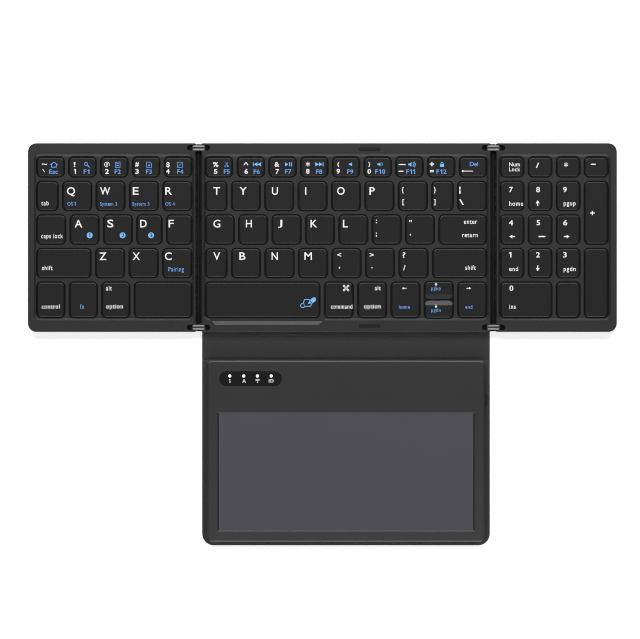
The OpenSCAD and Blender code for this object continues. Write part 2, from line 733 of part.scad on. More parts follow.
module centre_key_mechanisms() {
    key_mechanisms(concat(centre_plain, [up_rect, down_rect]));
}

module centre_top_frame() {
    color([0.21, 0.21, 0.215]) difference() {
        top_frame(centre_panel, [true, true], centre_keys, concat(centre_plain, [arrow_hole]), true);
        thumb_rest();
        bumper_bars(0);
    }
}

// Sloped recess that lets a thumb reach the space bar's front edge
module thumb_rest() {
    rim_y = keys_front_y - well_margin;
    foot_y = rim_y - thumb_depth + thumb_slope_w;
    rest_y = rim_y - thumb_depth;
    left = centre_bottom[0][0] + 1.5;
    right = centre_bottom[0][1] + 3.4;
    intersection() {
        translate([left - cut, 0, 0]) rotate([90, 0, 90]) linear_extrude(right - left + 2 * cut)
            polygon([[rim_y + 1, web_top_z], [foot_y, web_top_z], [rest_y, top_z],
                [rest_y, top_z + cut], [rim_y + 1, top_z + cut]]);
        translate([0, 0, web_z]) linear_extrude(case_t)
            polygon([[left, rim_y + 1], [left, rim_y], [left + thumb_lean, rest_y],
                [right - thumb_lean, rest_y], [right, rim_y], [right, rim_y + 1]]);
    }
}

module bumper_bars(stand) {
    for (y = [-post_y, post_y])
        plate([bumper_x - bumper_len / 2, bumper_x + bumper_len / 2], [y - bumper_w / 2, y + bumper_w / 2],
            [top_z - bumper_sunk, stand > 0 ? top_z + stand : top_z + cut], bumper_w / 2 - 0.01,
            bumper_w / 2 - 0.01);
}

module fold_bumpers() {
    color([0.1, 0.1, 0.1]) bumper_bars(bumper_stand);
}

module brackets(line_x, side) {
    color([0.75, 0.75, 0.77]) at_hinges(line_x, side) hinge_bracket();
}

module bracket_screws(line_x, side) {
    color([0.6, 0.6, 0.62]) at_hinges(line_x, side) bracket_screw();
}

module centre_hinge_brackets() {
    brackets(-fold_x, 1);
    brackets(fold_x, -1);
}

module centre_screws() {
    color([0.6, 0.6, 0.62]) at_posts() case_screw();
    bracket_screws(-fold_x, 1);
    bracket_screws(fold_x, -1);
}

module controller_board() {
    chip_y = (board_y[0] + board_y[1]) / 2;
    left_insets = [10, 22];
    right_inset = 12;
    chip_xs = concat([for (inset = left_insets) board_x[0] + inset], [board_x[1] - right_inset]);
    chip_half_w = 2.2;
    chip_half_len = 1.5;
    chip_t = 0.7;
    color([0.1, 0.35, 0.2]) box(board_x, board_y, [floor_z, floor_z + board_t]);
    color([0.1, 0.1, 0.1]) for (x = chip_xs)
        box([x - chip_half_w, x + chip_half_w], [chip_y - chip_half_len, chip_y + chip_half_len],
            [floor_z + board_t, floor_z + board_t + chip_t]);
}

// Side panels

module left_bottom_case() {
    color([0.2, 0.2, 0.21]) bottom_case(left_panel, [false, true], false);
}

module left_support_plate() {
    support_plate([left_keys[0] + plate_gap - fold_margin, left_keys[1]]);
}

module left_key_mechanisms() {
    color([0.3, 0.5, 0.35]) membrane([left_keys[0] + plate_gap - fold_margin, left_keys[1]]);
    key_mechanisms(left_all);
}

module left_top_frame() {
    color([0.21, 0.21, 0.215]) top_frame(left_panel, [false, true], left_keys, left_all, false);
}

module left_hinge_brackets() {
    brackets(-fold_x, -1);
    bracket_screws(-fold_x, -1);
}

module feet(keys) {
    end_gap = 8;
    color([0.12, 0.12, 0.12]) for (x = [keys[0] + foot_w, keys[1] - foot_w])
        plate([x - foot_w / 2, x + foot_w / 2], [keys_front_y + end_gap, keys_rear_y - end_gap],
            [0, cover_t], foot_w / 2 - 0.01, foot_w / 2 - 0.01);
}

module left_feet() {
    feet(left_keys);
}

module right_bottom_case() {
    color([0.2, 0.2, 0.21]) bottom_case(right_panel, [true, false], false);
}

module right_support_plate() {
    support_plate([right_keys[0], right_keys[1] - plate_gap + fold_margin]);
}

module right_key_mechanisms() {
    color([0.3, 0.5, 0.35]) membrane([right_keys[0], right_keys[1] - plate_gap + fold_margin]);
    key_mechanisms(right_all);
}

module right_top_frame() {
    color([0.21, 0.21, 0.215]) top_frame(right_panel, [true, false], right_keys, right_all, false);
}

module right_hinge_brackets() {
    brackets(fold_x, 1);
    bracket_screws(fold_x, 1);
}

module right_feet() {
    feet(right_keys);
}

// Double hinges between the panels

module at_links(line_x) {
    for (y = [-hinge_y, hinge_y]) translate([line_x, y, axis_z]) children();
}

module hinge_links(line_x) {
    color([0.8, 0.8, 0.82]) at_links(line_x) difference() {
        translate([0, link_w / 2, 0]) rotate([90, 0, 0]) linear_extrude(link_w) {
            translate([-axis_offset, -link_end_r]) square([2 * axis_offset, 2 * link_end_r]);
            for (x = [-axis_offset, axis_offset]) translate([x, 0]) circle(link_end_r);
        }
        for (x = [-axis_offset, axis_offset]) translate([x, link_w / 2 + cut, 0]) rotate([90, 0, 0])
            cylinder(r = pin_r, h = link_w + 2 * cut);
        box([-axis_offset - link_end_r - cut, axis_offset + link_end_r + cut],
            [-link_groove_w / 2, link_groove_w / 2],
            [link_end_r - link_groove_depth, link_end_r + cut]);
    }
}

module hinge_pins(line_x) {
    color([0.55, 0.55, 0.57]) at_links(line_x)
        for (x = [-axis_offset, axis_offset]) translate([x, pin_len / 2, 0]) rotate([90, 0, 0])
            cylinder(r = pin_r, h = pin_len);
}

module hinge_spine(line_x) {
    rib_end = hinge_y - link_w / 2;
    end_rib_len = spine_end_y - hinge_y - link_w / 2;
    cable_top = cable_z + cable_t;
    color([0.13, 0.13, 0.135]) translate([line_x, 0, 0]) difference() {
        union() {
            box([-base_half, base_half], [-spine_end_y, spine_end_y], [bridge_z, sole_top_z]);
            box([-base_half, base_half], [-rib_end, rib_end], [bridge_z, base_top_z]);
            for (y = [-spine_end_y, hinge_y + link_w / 2])
                box([-rib_w / 2, rib_w / 2], [y, y + end_rib_len], [bridge_z, rib_top_z]);
            box([-rib_w / 2, rib_w / 2], [-rib_end, rib_end], [rib_z, rib_top_z]);
            box([-bridge_w / 2, bridge_w / 2], [-bridge_len / 2, bridge_len / 2],
                [bridge_z, bridge_top_z]);
        }
        box([-base_half - cut, base_half + cut], [-cable_w / 2 - cable_room, cable_w / 2 + cable_room],
            [cable_z - cable_room, cable_top + cable_room]);
    }
}

module flat_cable(line_x) {
    color([0.15, 0.12, 0.08]) box([line_x - cable_reach, line_x + cable_reach],
        [-cable_w / 2, cable_w / 2], [cable_z, cable_z + cable_t]);
}

module left_hinge_links() {
    hinge_links(-fold_x);
}

module left_hinge_pins() {
    hinge_pins(-fold_x);
}

module left_hinge_spine() {
    hinge_spine(-fold_x);
}

module left_flat_cable() {
    flat_cable(-fold_x);
}

module right_hinge_links() {
    hinge_links(fold_x);
}

module right_hinge_pins() {
    hinge_pins(fold_x);
}

module right_hinge_spine() {
    hinge_spine(fold_x);
}

module right_flat_cable() {
    flat_cable(fold_x);
}

// Cover flap and touchpad

module cover_flap() {
    color([0.2, 0.2, 0.21]) box([-cover_half, cover_half],
        [pad_axis_y + cover_slit, flap_axis_y - cover_slit], [0, cover_t]);
}

module touchpad_cover() {
    front = pad_front_y - pad_front_rim;
    rear = pad_axis_y - cover_slit;
    color([0.2, 0.2, 0.21]) linear_extrude(cover_t) {
        translate([-cover_half, front + cover_r]) square([2 * cover_half, rear - front - cover_r]);
        translate([-cover_half + cover_r, front]) square([2 * (cover_half - cover_r), rear - front]);
        for (x = [-cover_half + cover_r, cover_half - cover_r])
            translate([x, front + cover_r]) circle(cover_r);
    }
}

module touchpad_housing() {
    color([0.22, 0.22, 0.225]) difference() {
        sloped_slab([-pad_half, pad_half], [pad_front_y, pad_rear_y], [cover_t, pad_top_z], pad_r, pad_r,
            pad_slope_w, pad_slope_drop);
        difference() {
            plate([-pad_half + pad_wall_t, pad_half - pad_wall_t],
                [pad_front_y + pad_wall_t, pad_rear_y - pad_wall_t], [cover_t - cut, pad_ceiling_z],
                pad_r - 1, pad_r - 1);
            board_posts();
        }
        touch_opening();
        window_opening();
        switch_window();
        port_pocket();
    }
}

module board_posts() {
    left_insets = [8, 48];
    right_insets = [40, 16];
    xs = concat([for (inset = left_insets) -pad_half + inset],
        [for (inset = right_insets) pad_half - inset]);
    y = rear_board_y[0] + 2.5;
    for (x = xs) translate([x, y, rear_board_z + rear_board_t]) cylinder(r = 1.5, h = pad_top_z);
}

module touch_opening() {
    room = 0.05;
    box([-touch_w / 2 - room, touch_w / 2 + room], [touch_y[0] - room, touch_y[1] + room],
        [touch_z, pad_top_z + cut]);
    box([-touch_w / 2 + touch_ledge, touch_w / 2 - touch_ledge],
        [touch_y[0] + touch_ledge, touch_y[1] - touch_ledge], [pad_ceiling_z - cut, touch_z + cut]);
    sloped_pocket([-touch_w / 2 - touch_slope_w, touch_w / 2 + touch_slope_w],
        [touch_y[0] - touch_slope_w, touch_y[1] + touch_slope_w], pad_top_z, touch_drop,
        touch_slope_w + 0.3, touch_slope_w + 0.3, touch_slope_w);
}

module window_opening() {
    end_r = window_w / 2 + window_room - 0.01;
    plate([window_x[0] - window_room, window_x[1] + window_room],
        [window_y[0] - window_room, window_y[1] + window_room],
        [pad_top_z - window_t - 0.05, pad_top_z + cut], end_r, end_r);
    for (i = [0:3]) translate([light_x + i * light_pitch, light_y, pad_ceiling_z - cut])
        cylinder(r = light_r, h = pad_top_t + cut);
}

module indicator_window() {
    color([0.08, 0.08, 0.09])
        plate(window_x, window_y, [pad_top_z - window_t - 0.05, pad_top_z - 0.05],
            window_w / 2 - 0.01, window_w / 2 - 0.01);
}

module touch_surface() {
    color([0.33, 0.33, 0.345]) box([-touch_w / 2, touch_w / 2], touch_y, [touch_z, touch_top_z]);
}

module touchpad_board() {
    room = 0.1;
    color([0.1, 0.35, 0.2]) {
        box([-touch_w / 2 + touch_ledge + room, touch_w / 2 - touch_ledge - room],
            [touch_y[0] + touch_ledge + room, touch_y[1] - touch_ledge - room], [pad_ceiling_z, touch_z]);
        box([-pad_half + pad_wall_t + 1, port_x - room], rear_board_y,
            [rear_board_z, rear_board_z + rear_board_t]);
    }
    color([0.85, 0.9, 0.85]) for (i = [0:3])
        box([light_x + i * light_pitch - 0.8, light_x + i * light_pitch + 0.8],
            [light_y - 0.5, light_y + 0.5],
            [rear_board_z + rear_board_t, rear_board_z + rear_board_t + 0.6]);
}

module battery() {
    middle_y = (touch_y[0] + touch_y[1]) / 2;
    color([0.7, 0.72, 0.75]) plate([-battery_w / 2, battery_w / 2],
        [middle_y - battery_len / 2, middle_y + battery_len / 2], [cover_t, cover_t + battery_t], 1.5, 1.5);
}

module port_pocket() {
    box([port_x - 0.3, pad_half + cut], [port_y - port_w / 2 - port_room, port_y + port_w / 2 + port_room],
        [cover_t - cut, cover_t + port_h + port_room]);
}

module charging_port() {
    shell_t = 0.22;
    back_t = 1;
    end_x = pad_half - 0.2;
    middle_z = cover_t + port_h / 2;
    tongue_half_w = 3.3;
    tongue_half_t = 0.35;
    color([0.75, 0.75, 0.77]) {
        difference() {
            port_solid(port_x, end_x, 0);
            port_solid(port_x + back_t, end_x + cut, shell_t);
        }
        box([port_x + back_t - 0.1, end_x - 1], [port_y - tongue_half_w, port_y + tongue_half_w],
            [middle_z - tongue_half_t, middle_z + tongue_half_t]);
    }
}

// Rounded bar along X with its ends half round, shrunk all round by inset
module port_solid(x0, x1, inset) {
    r = port_h / 2 - inset;
    translate([x0, port_y, cover_t + port_h / 2]) rotate([90, 0, 90]) linear_extrude(x1 - x0) {
        square([port_w - port_h, 2 * r], center = true);
        for (y = [-(port_w - port_h) / 2, (port_w - port_h) / 2]) translate([y, 0]) circle(r);
    }
}

// The switch's stem runs in a slot in the housing's right wall
module switch_window() {
    room = 0.15;
    rear = pad_rear_y - switch_rear - (knob_len - stem_len) / 2;
    box([pad_half - pad_wall_t - cut, pad_half + cut],
        [rear - stem_len - switch_travel - room, rear + room],
        [switch_z - stem_h / 2 - room, switch_z + stem_h / 2 + room]);
}

module power_switch() {
    rear = pad_rear_y - switch_rear;
    stem_rear = rear - (knob_len - stem_len) / 2;
    face_x = pad_half + 0.1;
    inside_x = pad_half - pad_wall_t - 0.1;
    end_x = pad_half + knob_stand;
    keeper_t = 0.6;
    keeper_z = [switch_z - 0.75, switch_z + 0.4];
    groove_depth = 0.35;
    groove_half_w = 0.25;
    color([0.3, 0.3, 0.31]) {
        box([inside_x - 0.01, face_x + 0.01], [stem_rear - stem_len, stem_rear],
            [switch_z - stem_h / 2, switch_z + stem_h / 2]);
        box([inside_x - keeper_t, inside_x], [rear - knob_len, rear], keeper_z);
        difference() {
            box([face_x, end_x], [rear - knob_len, rear], [switch_z - knob_h / 2, switch_z + knob_h / 2]);
            for (i = [1:3]) translate([0, rear - i * knob_len / 4, 0])
                box([end_x - groove_depth, end_x + cut], [-groove_half_w, groove_half_w],
                    [switch_z - knob_h, switch_z + knob_h]);
        }
    }
}

back_cover();
centre_bottom_case();
centre_support_plate();
centre_membrane();
centre_key_mechanisms();
centre_top_frame();
centre_hinge_brackets();
centre_screws();
controller_board();
fold_bumpers();
left_bottom_case();
left_support_plate();
left_key_mechanisms();
left_top_frame();
left_hinge_brackets();
left_feet();
right_bottom_case();
right_support_plate();
right_key_mechanisms();
right_top_frame();
right_hinge_brackets();
right_feet();
left_hinge_links();
left_hinge_pins();
left_hinge_spine();
left_flat_cable();
right_hinge_links();
right_hinge_pins();
right_hinge_spine();
right_flat_cable();
cover_flap();
touchpad_cover();
touchpad_housing();
touchpad_board();
touch_surface();
battery();
indicator_window();
charging_port();
power_switch();
caps(left_function);  // left_function_keys
caps(left_upper);  // left_upper_keys
caps(left_home);  // left_home_keys
caps(left_lower);  // left_lower_keys
caps(left_bottom);  // left_modifier_keys
caps(centre_function);  // centre_function_keys
caps(centre_upper);  // centre_upper_keys
caps(slice(centre_home, 0, 6));  // centre_home_keys
caps([centre_home[7]]);  // enter_key
caps(centre_lower);  // centre_lower_keys
caps([centre_bottom[0]]);  // space_bar
caps(centre_modifiers);  // centre_modifier_keys
arrow_cap(up_rect, up_rect[2], 1);  // up_key
arrow_cap(down_rect, down_rect[3], -1);  // down_key
caps(pad_top);  // pad_top_keys
caps(pad_789);  // pad_789_keys
caps(pad_456);  // pad_456_keys
caps(pad_123);  // pad_123_keys
caps(pad_zero);  // pad_zero_keys
caps(pad_plus);  // pad_plus_key
caps(pad_enter);  // pad_enter_key
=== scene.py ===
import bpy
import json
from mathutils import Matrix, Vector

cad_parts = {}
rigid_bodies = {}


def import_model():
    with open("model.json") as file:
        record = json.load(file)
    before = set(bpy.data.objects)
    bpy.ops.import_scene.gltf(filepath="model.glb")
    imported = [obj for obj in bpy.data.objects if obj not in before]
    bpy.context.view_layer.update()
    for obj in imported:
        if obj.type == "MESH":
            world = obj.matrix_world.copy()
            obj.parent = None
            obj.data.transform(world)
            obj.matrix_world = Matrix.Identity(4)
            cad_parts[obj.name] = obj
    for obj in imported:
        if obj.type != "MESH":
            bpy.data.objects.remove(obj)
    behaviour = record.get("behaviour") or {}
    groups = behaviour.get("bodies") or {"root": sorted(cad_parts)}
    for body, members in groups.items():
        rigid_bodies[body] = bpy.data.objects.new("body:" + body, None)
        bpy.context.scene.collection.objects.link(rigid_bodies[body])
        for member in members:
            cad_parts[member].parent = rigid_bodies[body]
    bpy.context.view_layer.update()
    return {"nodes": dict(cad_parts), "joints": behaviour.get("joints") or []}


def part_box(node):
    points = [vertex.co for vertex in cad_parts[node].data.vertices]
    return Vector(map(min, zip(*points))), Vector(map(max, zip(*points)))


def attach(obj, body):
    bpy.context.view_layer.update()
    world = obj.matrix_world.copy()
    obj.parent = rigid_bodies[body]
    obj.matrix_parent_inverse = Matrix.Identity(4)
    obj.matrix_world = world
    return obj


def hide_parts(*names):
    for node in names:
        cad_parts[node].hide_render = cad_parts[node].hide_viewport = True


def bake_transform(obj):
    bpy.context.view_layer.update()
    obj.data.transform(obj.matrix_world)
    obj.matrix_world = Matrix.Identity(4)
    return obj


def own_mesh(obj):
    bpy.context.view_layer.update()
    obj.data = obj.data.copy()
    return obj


bl_info = {
    "name": "Folding keyboard",
    "version": (1, 0, 0),
    "blender": (4, 5, 0),
    "location": "View3D > Sidebar > Keyboard",
    "description": "Finishes, printed legends, leather cover and studio for a three-panel folding keyboard",
    "category": "Add Mesh",
}

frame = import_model()

import json
import math
import re

import bmesh
import bpy
from bpy.props import FloatProperty, FloatVectorProperty, IntProperty, PointerProperty
from mathutils import Matrix, Vector

MM = 0.001
NODES = frame["nodes"]


def linear(hex_colour):
    """Linear RGBA of an sRGB hex colour."""
    def channel(value):
        return value / 12.92 if value <= 0.04045 else ((value + 0.055) / 1.055) ** 2.4
    digits = hex_colour.lstrip("#")
    return tuple(channel(int(digits[i:i + 2], 16) / 255) for i in (0, 2, 4)) + (1.0,)


def colour(name, hex_colour, text):
    return FloatVectorProperty(name=name, description=text, subtype="COLOR", size=4, min=0, max=1,
                               default=linear(hex_colour))


def length(name, millimetres, text):
    return FloatProperty(name=name, description=text, default=millimetres * MM, min=0, unit="LENGTH",
                         precision=5)


class KeyboardFinishes(bpy.types.PropertyGroup):
    case: colour("Case", "#262627", "Moulded plastic of the bezels, trays and touchpad housing")
    housing: colour("Touchpad housing", "#2b2b2c", "Moulded plastic of the touchpad housing")
    cap: colour("Key caps", "#131314", "Moulded plastic of the key caps")
    leather: colour("Cover", "#323233", "Coated leatherette of the cover")
    touch: colour("Touch surface", "#4a4850", "Satin touch surface")
    steel: colour("Hinge steel", "#aeaeb1", "Brushed steel of the hinge links")
    white_ink: colour("White print", "#fbfbfb", "Legends")
    blue_ink: colour("Blue print", "#6fa4ea", "Function legends")
    bright_ink: colour("Bright blue print", "#7cc0ff", "Channel discs and pictograms")


class KeyboardSizes(bpy.types.PropertyGroup):
    letter: length("Letter", 4.3, "Height of a capital letter on a letter key")
    symbol: length("Symbol", 2.6, "Height of the figures and signs in the function row")
    function: length("Function legend", 2.4, "Height of the blue F legends")
    digit: length("Pad figure", 2.9, "Height of the figures on the number pad")
    word: length("Word", 2.5, "Height of a tall letter in a word")
    small_word: length("Small word", 2.0, "Height of a tall letter in a small blue word")
    ink: length("Ink", 0.02, "Thickness of the printed legends")
    leather_round: length("Leather edge", 0.35, "Rounding of the cover's edge")
    foot_rib: length("Foot rib", 0.25, "Radius of the ribs under a rubber foot")
    foot_pitch: length("Rib spacing", 1.5, "Spacing of the ribs under a rubber foot")


class KeyboardStudio(bpy.types.PropertyGroup):
    camera_height: FloatProperty(name="Camera height", description="Height of the camera over the table",
                                 default=3.0, min=0.5, unit="LENGTH")
    frame_width: length("Frame width", 347.5, "Width of table that the picture takes in")
    centre_x: FloatProperty(name="Centre X", description="What the middle of the picture looks at",
                            default=-14.1 * MM, unit="LENGTH")
    centre_y: FloatProperty(name="Centre Y", description="What the middle of the picture looks at",
                            default=-44.4 * MM, unit="LENGTH")
    rear_power: FloatProperty(name="Rear softbox", description="Power of the long softbox behind",
                              default=8.6, min=0, unit="POWER")
    strip_power: FloatProperty(name="Rear strip", description="Power of the low strip light behind",
                               default=3.0, min=0, unit="POWER")
    front_power: FloatProperty(name="Front softbox", description="Power of the long softbox in front",
                               default=5.6, min=0, unit="POWER")
    sky: FloatProperty(name="Sky", description="Strength of the light from overhead", default=0.34, min=0)


# Nodes, materials and meshes

def add(tree, kind, inputs=None, **settings):
    """Adds a node with its settings; an input is a value or the socket that feeds it."""
    node = tree.nodes.new(kind)
    for name, value in settings.items():
        setattr(node, name, value)
    for name, value in (inputs or {}).items():
        if isinstance(value, bpy.types.NodeSocket):
            tree.links.new(value, node.inputs[name])
        else:
            node.inputs[name].default_value = value
    return node


def surface(name, base, roughness, **sockets):
    """New material with a Principled shader; returns the material, its tree, the shader, Object coordinates."""
    material = bpy.data.materials.new(name)
    material.use_nodes = True
    tree = material.node_tree
    shader = tree.nodes["Principled BSDF"]
    shader.inputs["Base Color"].default_value = base
    shader.inputs["Roughness"].default_value = roughness
    for socket, value in sockets.items():
        shader.inputs[socket.replace("_", " ")].default_value = value
    coordinates = add(tree, "ShaderNodeTexCoord").outputs["Object"]
    return material, tree, shader, coordinates


def vary_colour(tree, shader, factor, base, spread):
    """Mixes the base colour between a darker and a lighter shade of itself."""
    dark = tuple(c * (1 - spread) for c in base[:3]) + (1.0,)
    light = tuple(min(1.0, c * (1 + spread)) for c in base[:3]) + (1.0,)
    mix = add(tree, "ShaderNodeMix", data_type="RGBA")
    tree.links.new(factor, mix.inputs[0])
    mix.inputs[6].default_value = dark
    mix.inputs[7].default_value = light
    tree.links.new(mix.outputs[2], shader.inputs["Base Color"])


def vary_roughness(tree, shader, factor, low, high):
    spread = add(tree, "ShaderNodeMapRange", {"Value": factor, "To Min": low, "To Max": high})
    tree.links.new(spread.outputs["Result"], shader.inputs["Roughness"])


def dim(tree, shader, factor):
    """Multiplies what feeds the base colour by a factor from 0 to 1."""
    mix = add(tree, "ShaderNodeMix", {0: 1.0, 6: shader.inputs["Base Color"].links[0].from_socket, 7: factor},
              data_type="RGBA", blend_type="MULTIPLY")
    tree.links.new(mix.outputs[2], shader.inputs["Base Color"])


def paint_light_along(material, low_y, high_y, gain):
    """Paints light: multiplies the colour by a gain that fades to 1 from the front to the rear."""
    tree = material.node_tree
    at = add(tree, "ShaderNodeTexCoord").outputs["Object"]
    along = add(tree, "ShaderNodeSeparateXYZ", {"Vector": at}).outputs["Y"]
    fade = add(tree, "ShaderNodeMapRange", {"Value": along, "From Min": low_y, "From Max": high_y,
                                            "To Min": gain, "To Max": 1.0})
    dim(tree, tree.nodes["Principled BSDF"], fade.outputs["Result"])
    return material


def paint_slope_highlights(material, lean, front, rear):
    """Paints highlights: multiplies the colour of the faces that lean by the sine given, to the front and to the
    rear.
    """
    tree = material.node_tree
    normal = add(tree, "ShaderNodeTexCoord").outputs["Normal"]
    along = add(tree, "ShaderNodeSeparateXYZ", {"Vector": normal}).outputs["Y"]
    factor = 1.0
    for sine, gain in ((-lean, front), (lean, rear)):
        leans = add(tree, "ShaderNodeMath", {0: along, 1: sine, 2: 0.025}, operation="COMPARE")
        factor = add(tree, "ShaderNodeMath", {0: leans.outputs[0], 1: gain - 1, 2: factor},
                     operation="MULTIPLY_ADD").outputs[0]
    dim(tree, tree.nodes["Principled BSDF"], factor)
    return material


def bump(tree, shader, height, depth, strength=1.0):
    node = add(tree, "ShaderNodeBump", {"Height": height, "Distance": depth, "Strength": strength})
    tree.links.new(node.outputs["Normal"], shader.inputs["Normal"])


def noise(tree, coordinates, size, detail=2.0):
    """Noise whose grains are about size metres across."""
    return add(tree, "ShaderNodeTexNoise", {"Vector": coordinates, "Scale": 1 / size, "Detail": detail})


def moulded_plastic(name, base, roughness, grain, depth, gloss=0.47):
    """ABS moulded in a spark-eroded tool: a fine, even matt grain, without gloss or wear on a new part."""
    material, tree, shader, at = surface(name, base, roughness, Specular_IOR_Level=gloss)
    fine = noise(tree, at, grain, 3.0)
    broad = noise(tree, at, 14 * MM, 2.0)
    vary_colour(tree, shader, broad.outputs["Fac"], base, 0.06)
    vary_roughness(tree, shader, fine.outputs["Fac"], roughness - 0.06, roughness + 0.06)
    bump(tree, shader, fine.outputs["Fac"], depth)
    return material


def coated_leather(name, base, fold_y):
    """Polyurethane-coated leatherette, embossed with a small pebble grain: soft sheen, dark creases."""
    material, tree, shader, at = surface(name, base, 0.58, Specular_IOR_Level=0.35, Sheen_Weight=0.08,
                                         Sheen_Roughness=0.5)
    # The real grain is about 0.5 mm; 0.8 mm is the finest that shows in the picture.
    pebbles = add(tree, "ShaderNodeTexVoronoi", {"Vector": at, "Scale": 1 / (0.8 * MM), "Randomness": 0.9},
                  feature="DISTANCE_TO_EDGE")
    creases = add(tree, "ShaderNodeMapRange", {"Value": pebbles.outputs["Distance"], "From Max": 0.25})
    broad = noise(tree, at, 20 * MM, 3.0)
    vary_colour(tree, shader, broad.outputs["Fac"], base, 0.07)
    vary_roughness(tree, shader, creases.outputs["Result"], 0.68, 0.55)
    bump(tree, shader, creases.outputs["Result"], 0.03 * MM, 0.8)
    # Painted light: the coating is paler along the fold where it comes out from under the keys, lifting the shade
    # there.
    along = add(tree, "ShaderNodeSeparateXYZ", {"Vector": at}).outputs["Y"]
    offset = add(tree, "ShaderNodeMath", {0: along, 1: fold_y}, operation="SUBTRACT")
    distance = add(tree, "ShaderNodeMath", {0: offset.outputs[0]}, operation="ABSOLUTE")
    pale = add(tree, "ShaderNodeMapRange", {"Value": distance.outputs[0], "From Min": 2.6 * MM,
                                            "From Max": 4.0 * MM, "To Min": 1.9, "To Max": 1.0})
    dim(tree, shader, pale.outputs["Result"])
    return material


def brushed_steel(name, base, groove_z, rim_z):
    """Stainless strip, brushed matt along its length, with painted shade darkening the groove along its top."""
    material, tree, shader, at = surface(name, base, 0.45, Metallic=0.7)
    stretched = add(tree, "ShaderNodeMapping", {"Vector": at, "Scale": (1.0, 14.0, 14.0)})
    streaks = noise(tree, stretched.outputs["Vector"], 1.6 * MM, 4.0)
    vary_colour(tree, shader, streaks.outputs["Fac"], base, 0.12)
    vary_roughness(tree, shader, streaks.outputs["Fac"], 0.38, 0.5)
    bump(tree, shader, streaks.outputs["Fac"], 0.01 * MM, 0.6)
    # Painted shade: the colour darkens towards the floor of the groove.
    height = add(tree, "ShaderNodeSeparateXYZ", {"Vector": at}).outputs["Z"]
    groove_shade = add(tree, "ShaderNodeMapRange", {"Value": height, "From Min": groove_z, "From Max": rim_z,
                                             "To Min": 0.18})
    dim(tree, shader, groove_shade.outputs["Result"])
    return material


def stamped_steel(name):
    """Zinc-plated sheet steel: a cool grey with faint cloudy spangles."""
    base = linear("#a4a6a8")
    material, tree, shader, at = surface(name, base, 0.4, Metallic=1.0)
    clouds = add(tree, "ShaderNodeTexVoronoi", {"Vector": at, "Scale": 1 / (3 * MM)})
    vary_colour(tree, shader, clouds.outputs["Distance"], base, 0.15)
    vary_roughness(tree, shader, clouds.outputs["Distance"], 0.32, 0.48)
    return material


def satin_plate(name, base, low_x, high_x):
    """Etched and dyed glass: even, satin, with painted shade as a dark line along its left and right edges."""
    material, tree, shader, at = surface(name, base, 0.5, Specular_IOR_Level=0.45)
    fine = noise(tree, at, 0.6 * MM, 2.0)
    broad = noise(tree, at, 45 * MM, 1.0)
    vary_colour(tree, shader, broad.outputs["Fac"], base, 0.03)
    vary_roughness(tree, shader, fine.outputs["Fac"], 0.46, 0.54)
    bump(tree, shader, fine.outputs["Fac"], 0.002 * MM, 0.5)
    # Painted shade: a dark line along the left and right edges.
    across = add(tree, "ShaderNodeSeparateXYZ", {"Vector": at}).outputs["X"]
    from_middle = add(tree, "ShaderNodeMath", {0: across, 1: (low_x + high_x) / 2}, operation="SUBTRACT")
    distance = add(tree, "ShaderNodeMath", {0: from_middle.outputs[0]}, operation="ABSOLUTE")
    half = (high_x - low_x) / 2
    plain = add(tree, "ShaderNodeMapRange", {"Value": distance.outputs[0], "From Min": half - 0.75 * MM,
                                             "From Max": half - 0.55 * MM, "To Min": 1.0, "To Max": 0.12})
    dim(tree, shader, plain.outputs["Result"])
    return material


def smoked_window(name):
    """Smoked polycarbonate, polished: nearly black, with a clear gloss."""
    base = linear("#0c0c0d")
    material, tree, shader, at = surface(name, base, 0.16, Specular_IOR_Level=0.4)
    faint = noise(tree, at, 5 * MM, 2.0)
    vary_colour(tree, shader, faint.outputs["Fac"], base, 0.1)
    vary_roughness(tree, shader, faint.outputs["Fac"], 0.12, 0.2)
    return material


def soft_rubber(name, hex_colour="#161616"):
    """Moulded silicone rubber: matt, slightly dusty, darker in the dips of its grain."""
    base = linear(hex_colour)
    material, tree, shader, at = surface(name, base, 0.75, Specular_IOR_Level=0.3)
    dust = noise(tree, at, 0.5 * MM, 4.0)
    vary_colour(tree, shader, dust.outputs["Fac"], base, 0.2)
    bump(tree, shader, dust.outputs["Fac"], 0.01 * MM)
    return material


def ink(name, base):
    """Pad-printed enamel: flat and opaque, thinning a little in places."""
    material, tree, shader, at = surface(name, base, 0.5, Specular_IOR_Level=0.3)
    patches = noise(tree, at, 0.7 * MM, 2.0)
    vary_colour(tree, shader, patches.outputs["Fac"], base, 0.05)
    return material


def lamp_lens(name):
    """Frosted lens over a lit diode: white and even, glowing faintly."""
    base = linear("#f6f8fa")
    material, tree, shader, at = surface(name, base, 0.4, Emission_Color=base, Emission_Strength=0.35)
    frost = noise(tree, at, 0.3 * MM, 2.0)
    bump(tree, shader, frost.outputs["Fac"], 0.005 * MM)
    return material


def circuit_board(name):
    """Glass-fibre laminate under green solder mask, with the weave and tracks just showing."""
    base = linear("#1d5a35")
    material, tree, shader, at = surface(name, base, 0.35)
    weave = add(tree, "ShaderNodeTexBrick", {"Vector": at, "Scale": 1 / (4 * MM), "Mortar Size": 0.04,
                                             "Color1": linear("#1f6039"), "Color2": linear("#1a5231"),
                                             "Mortar": linear("#2b7a48")})
    tree.links.new(weave.outputs["Color"], shader.inputs["Base Color"])
    return material


def polymer_film(name, hex_colour):
    """Polyester or polyimide film with printed silver tracks: thin, glossy, slightly cloudy."""
    base = linear(hex_colour)
    material, tree, shader, at = surface(name, base, 0.3, Specular_IOR_Level=0.5)
    tracks = add(tree, "ShaderNodeTexWave", {"Vector": at, "Scale": 1 / (6 * MM), "Distortion": 2.0})
    vary_colour(tree, shader, tracks.outputs["Fac"], base, 0.25)
    return material


def new_object(name, mesh, material):
    piece = bpy.data.objects.new(name, mesh)
    bpy.context.scene.collection.objects.link(piece)
    mesh.materials.clear()
    mesh.materials.append(material)
    return piece


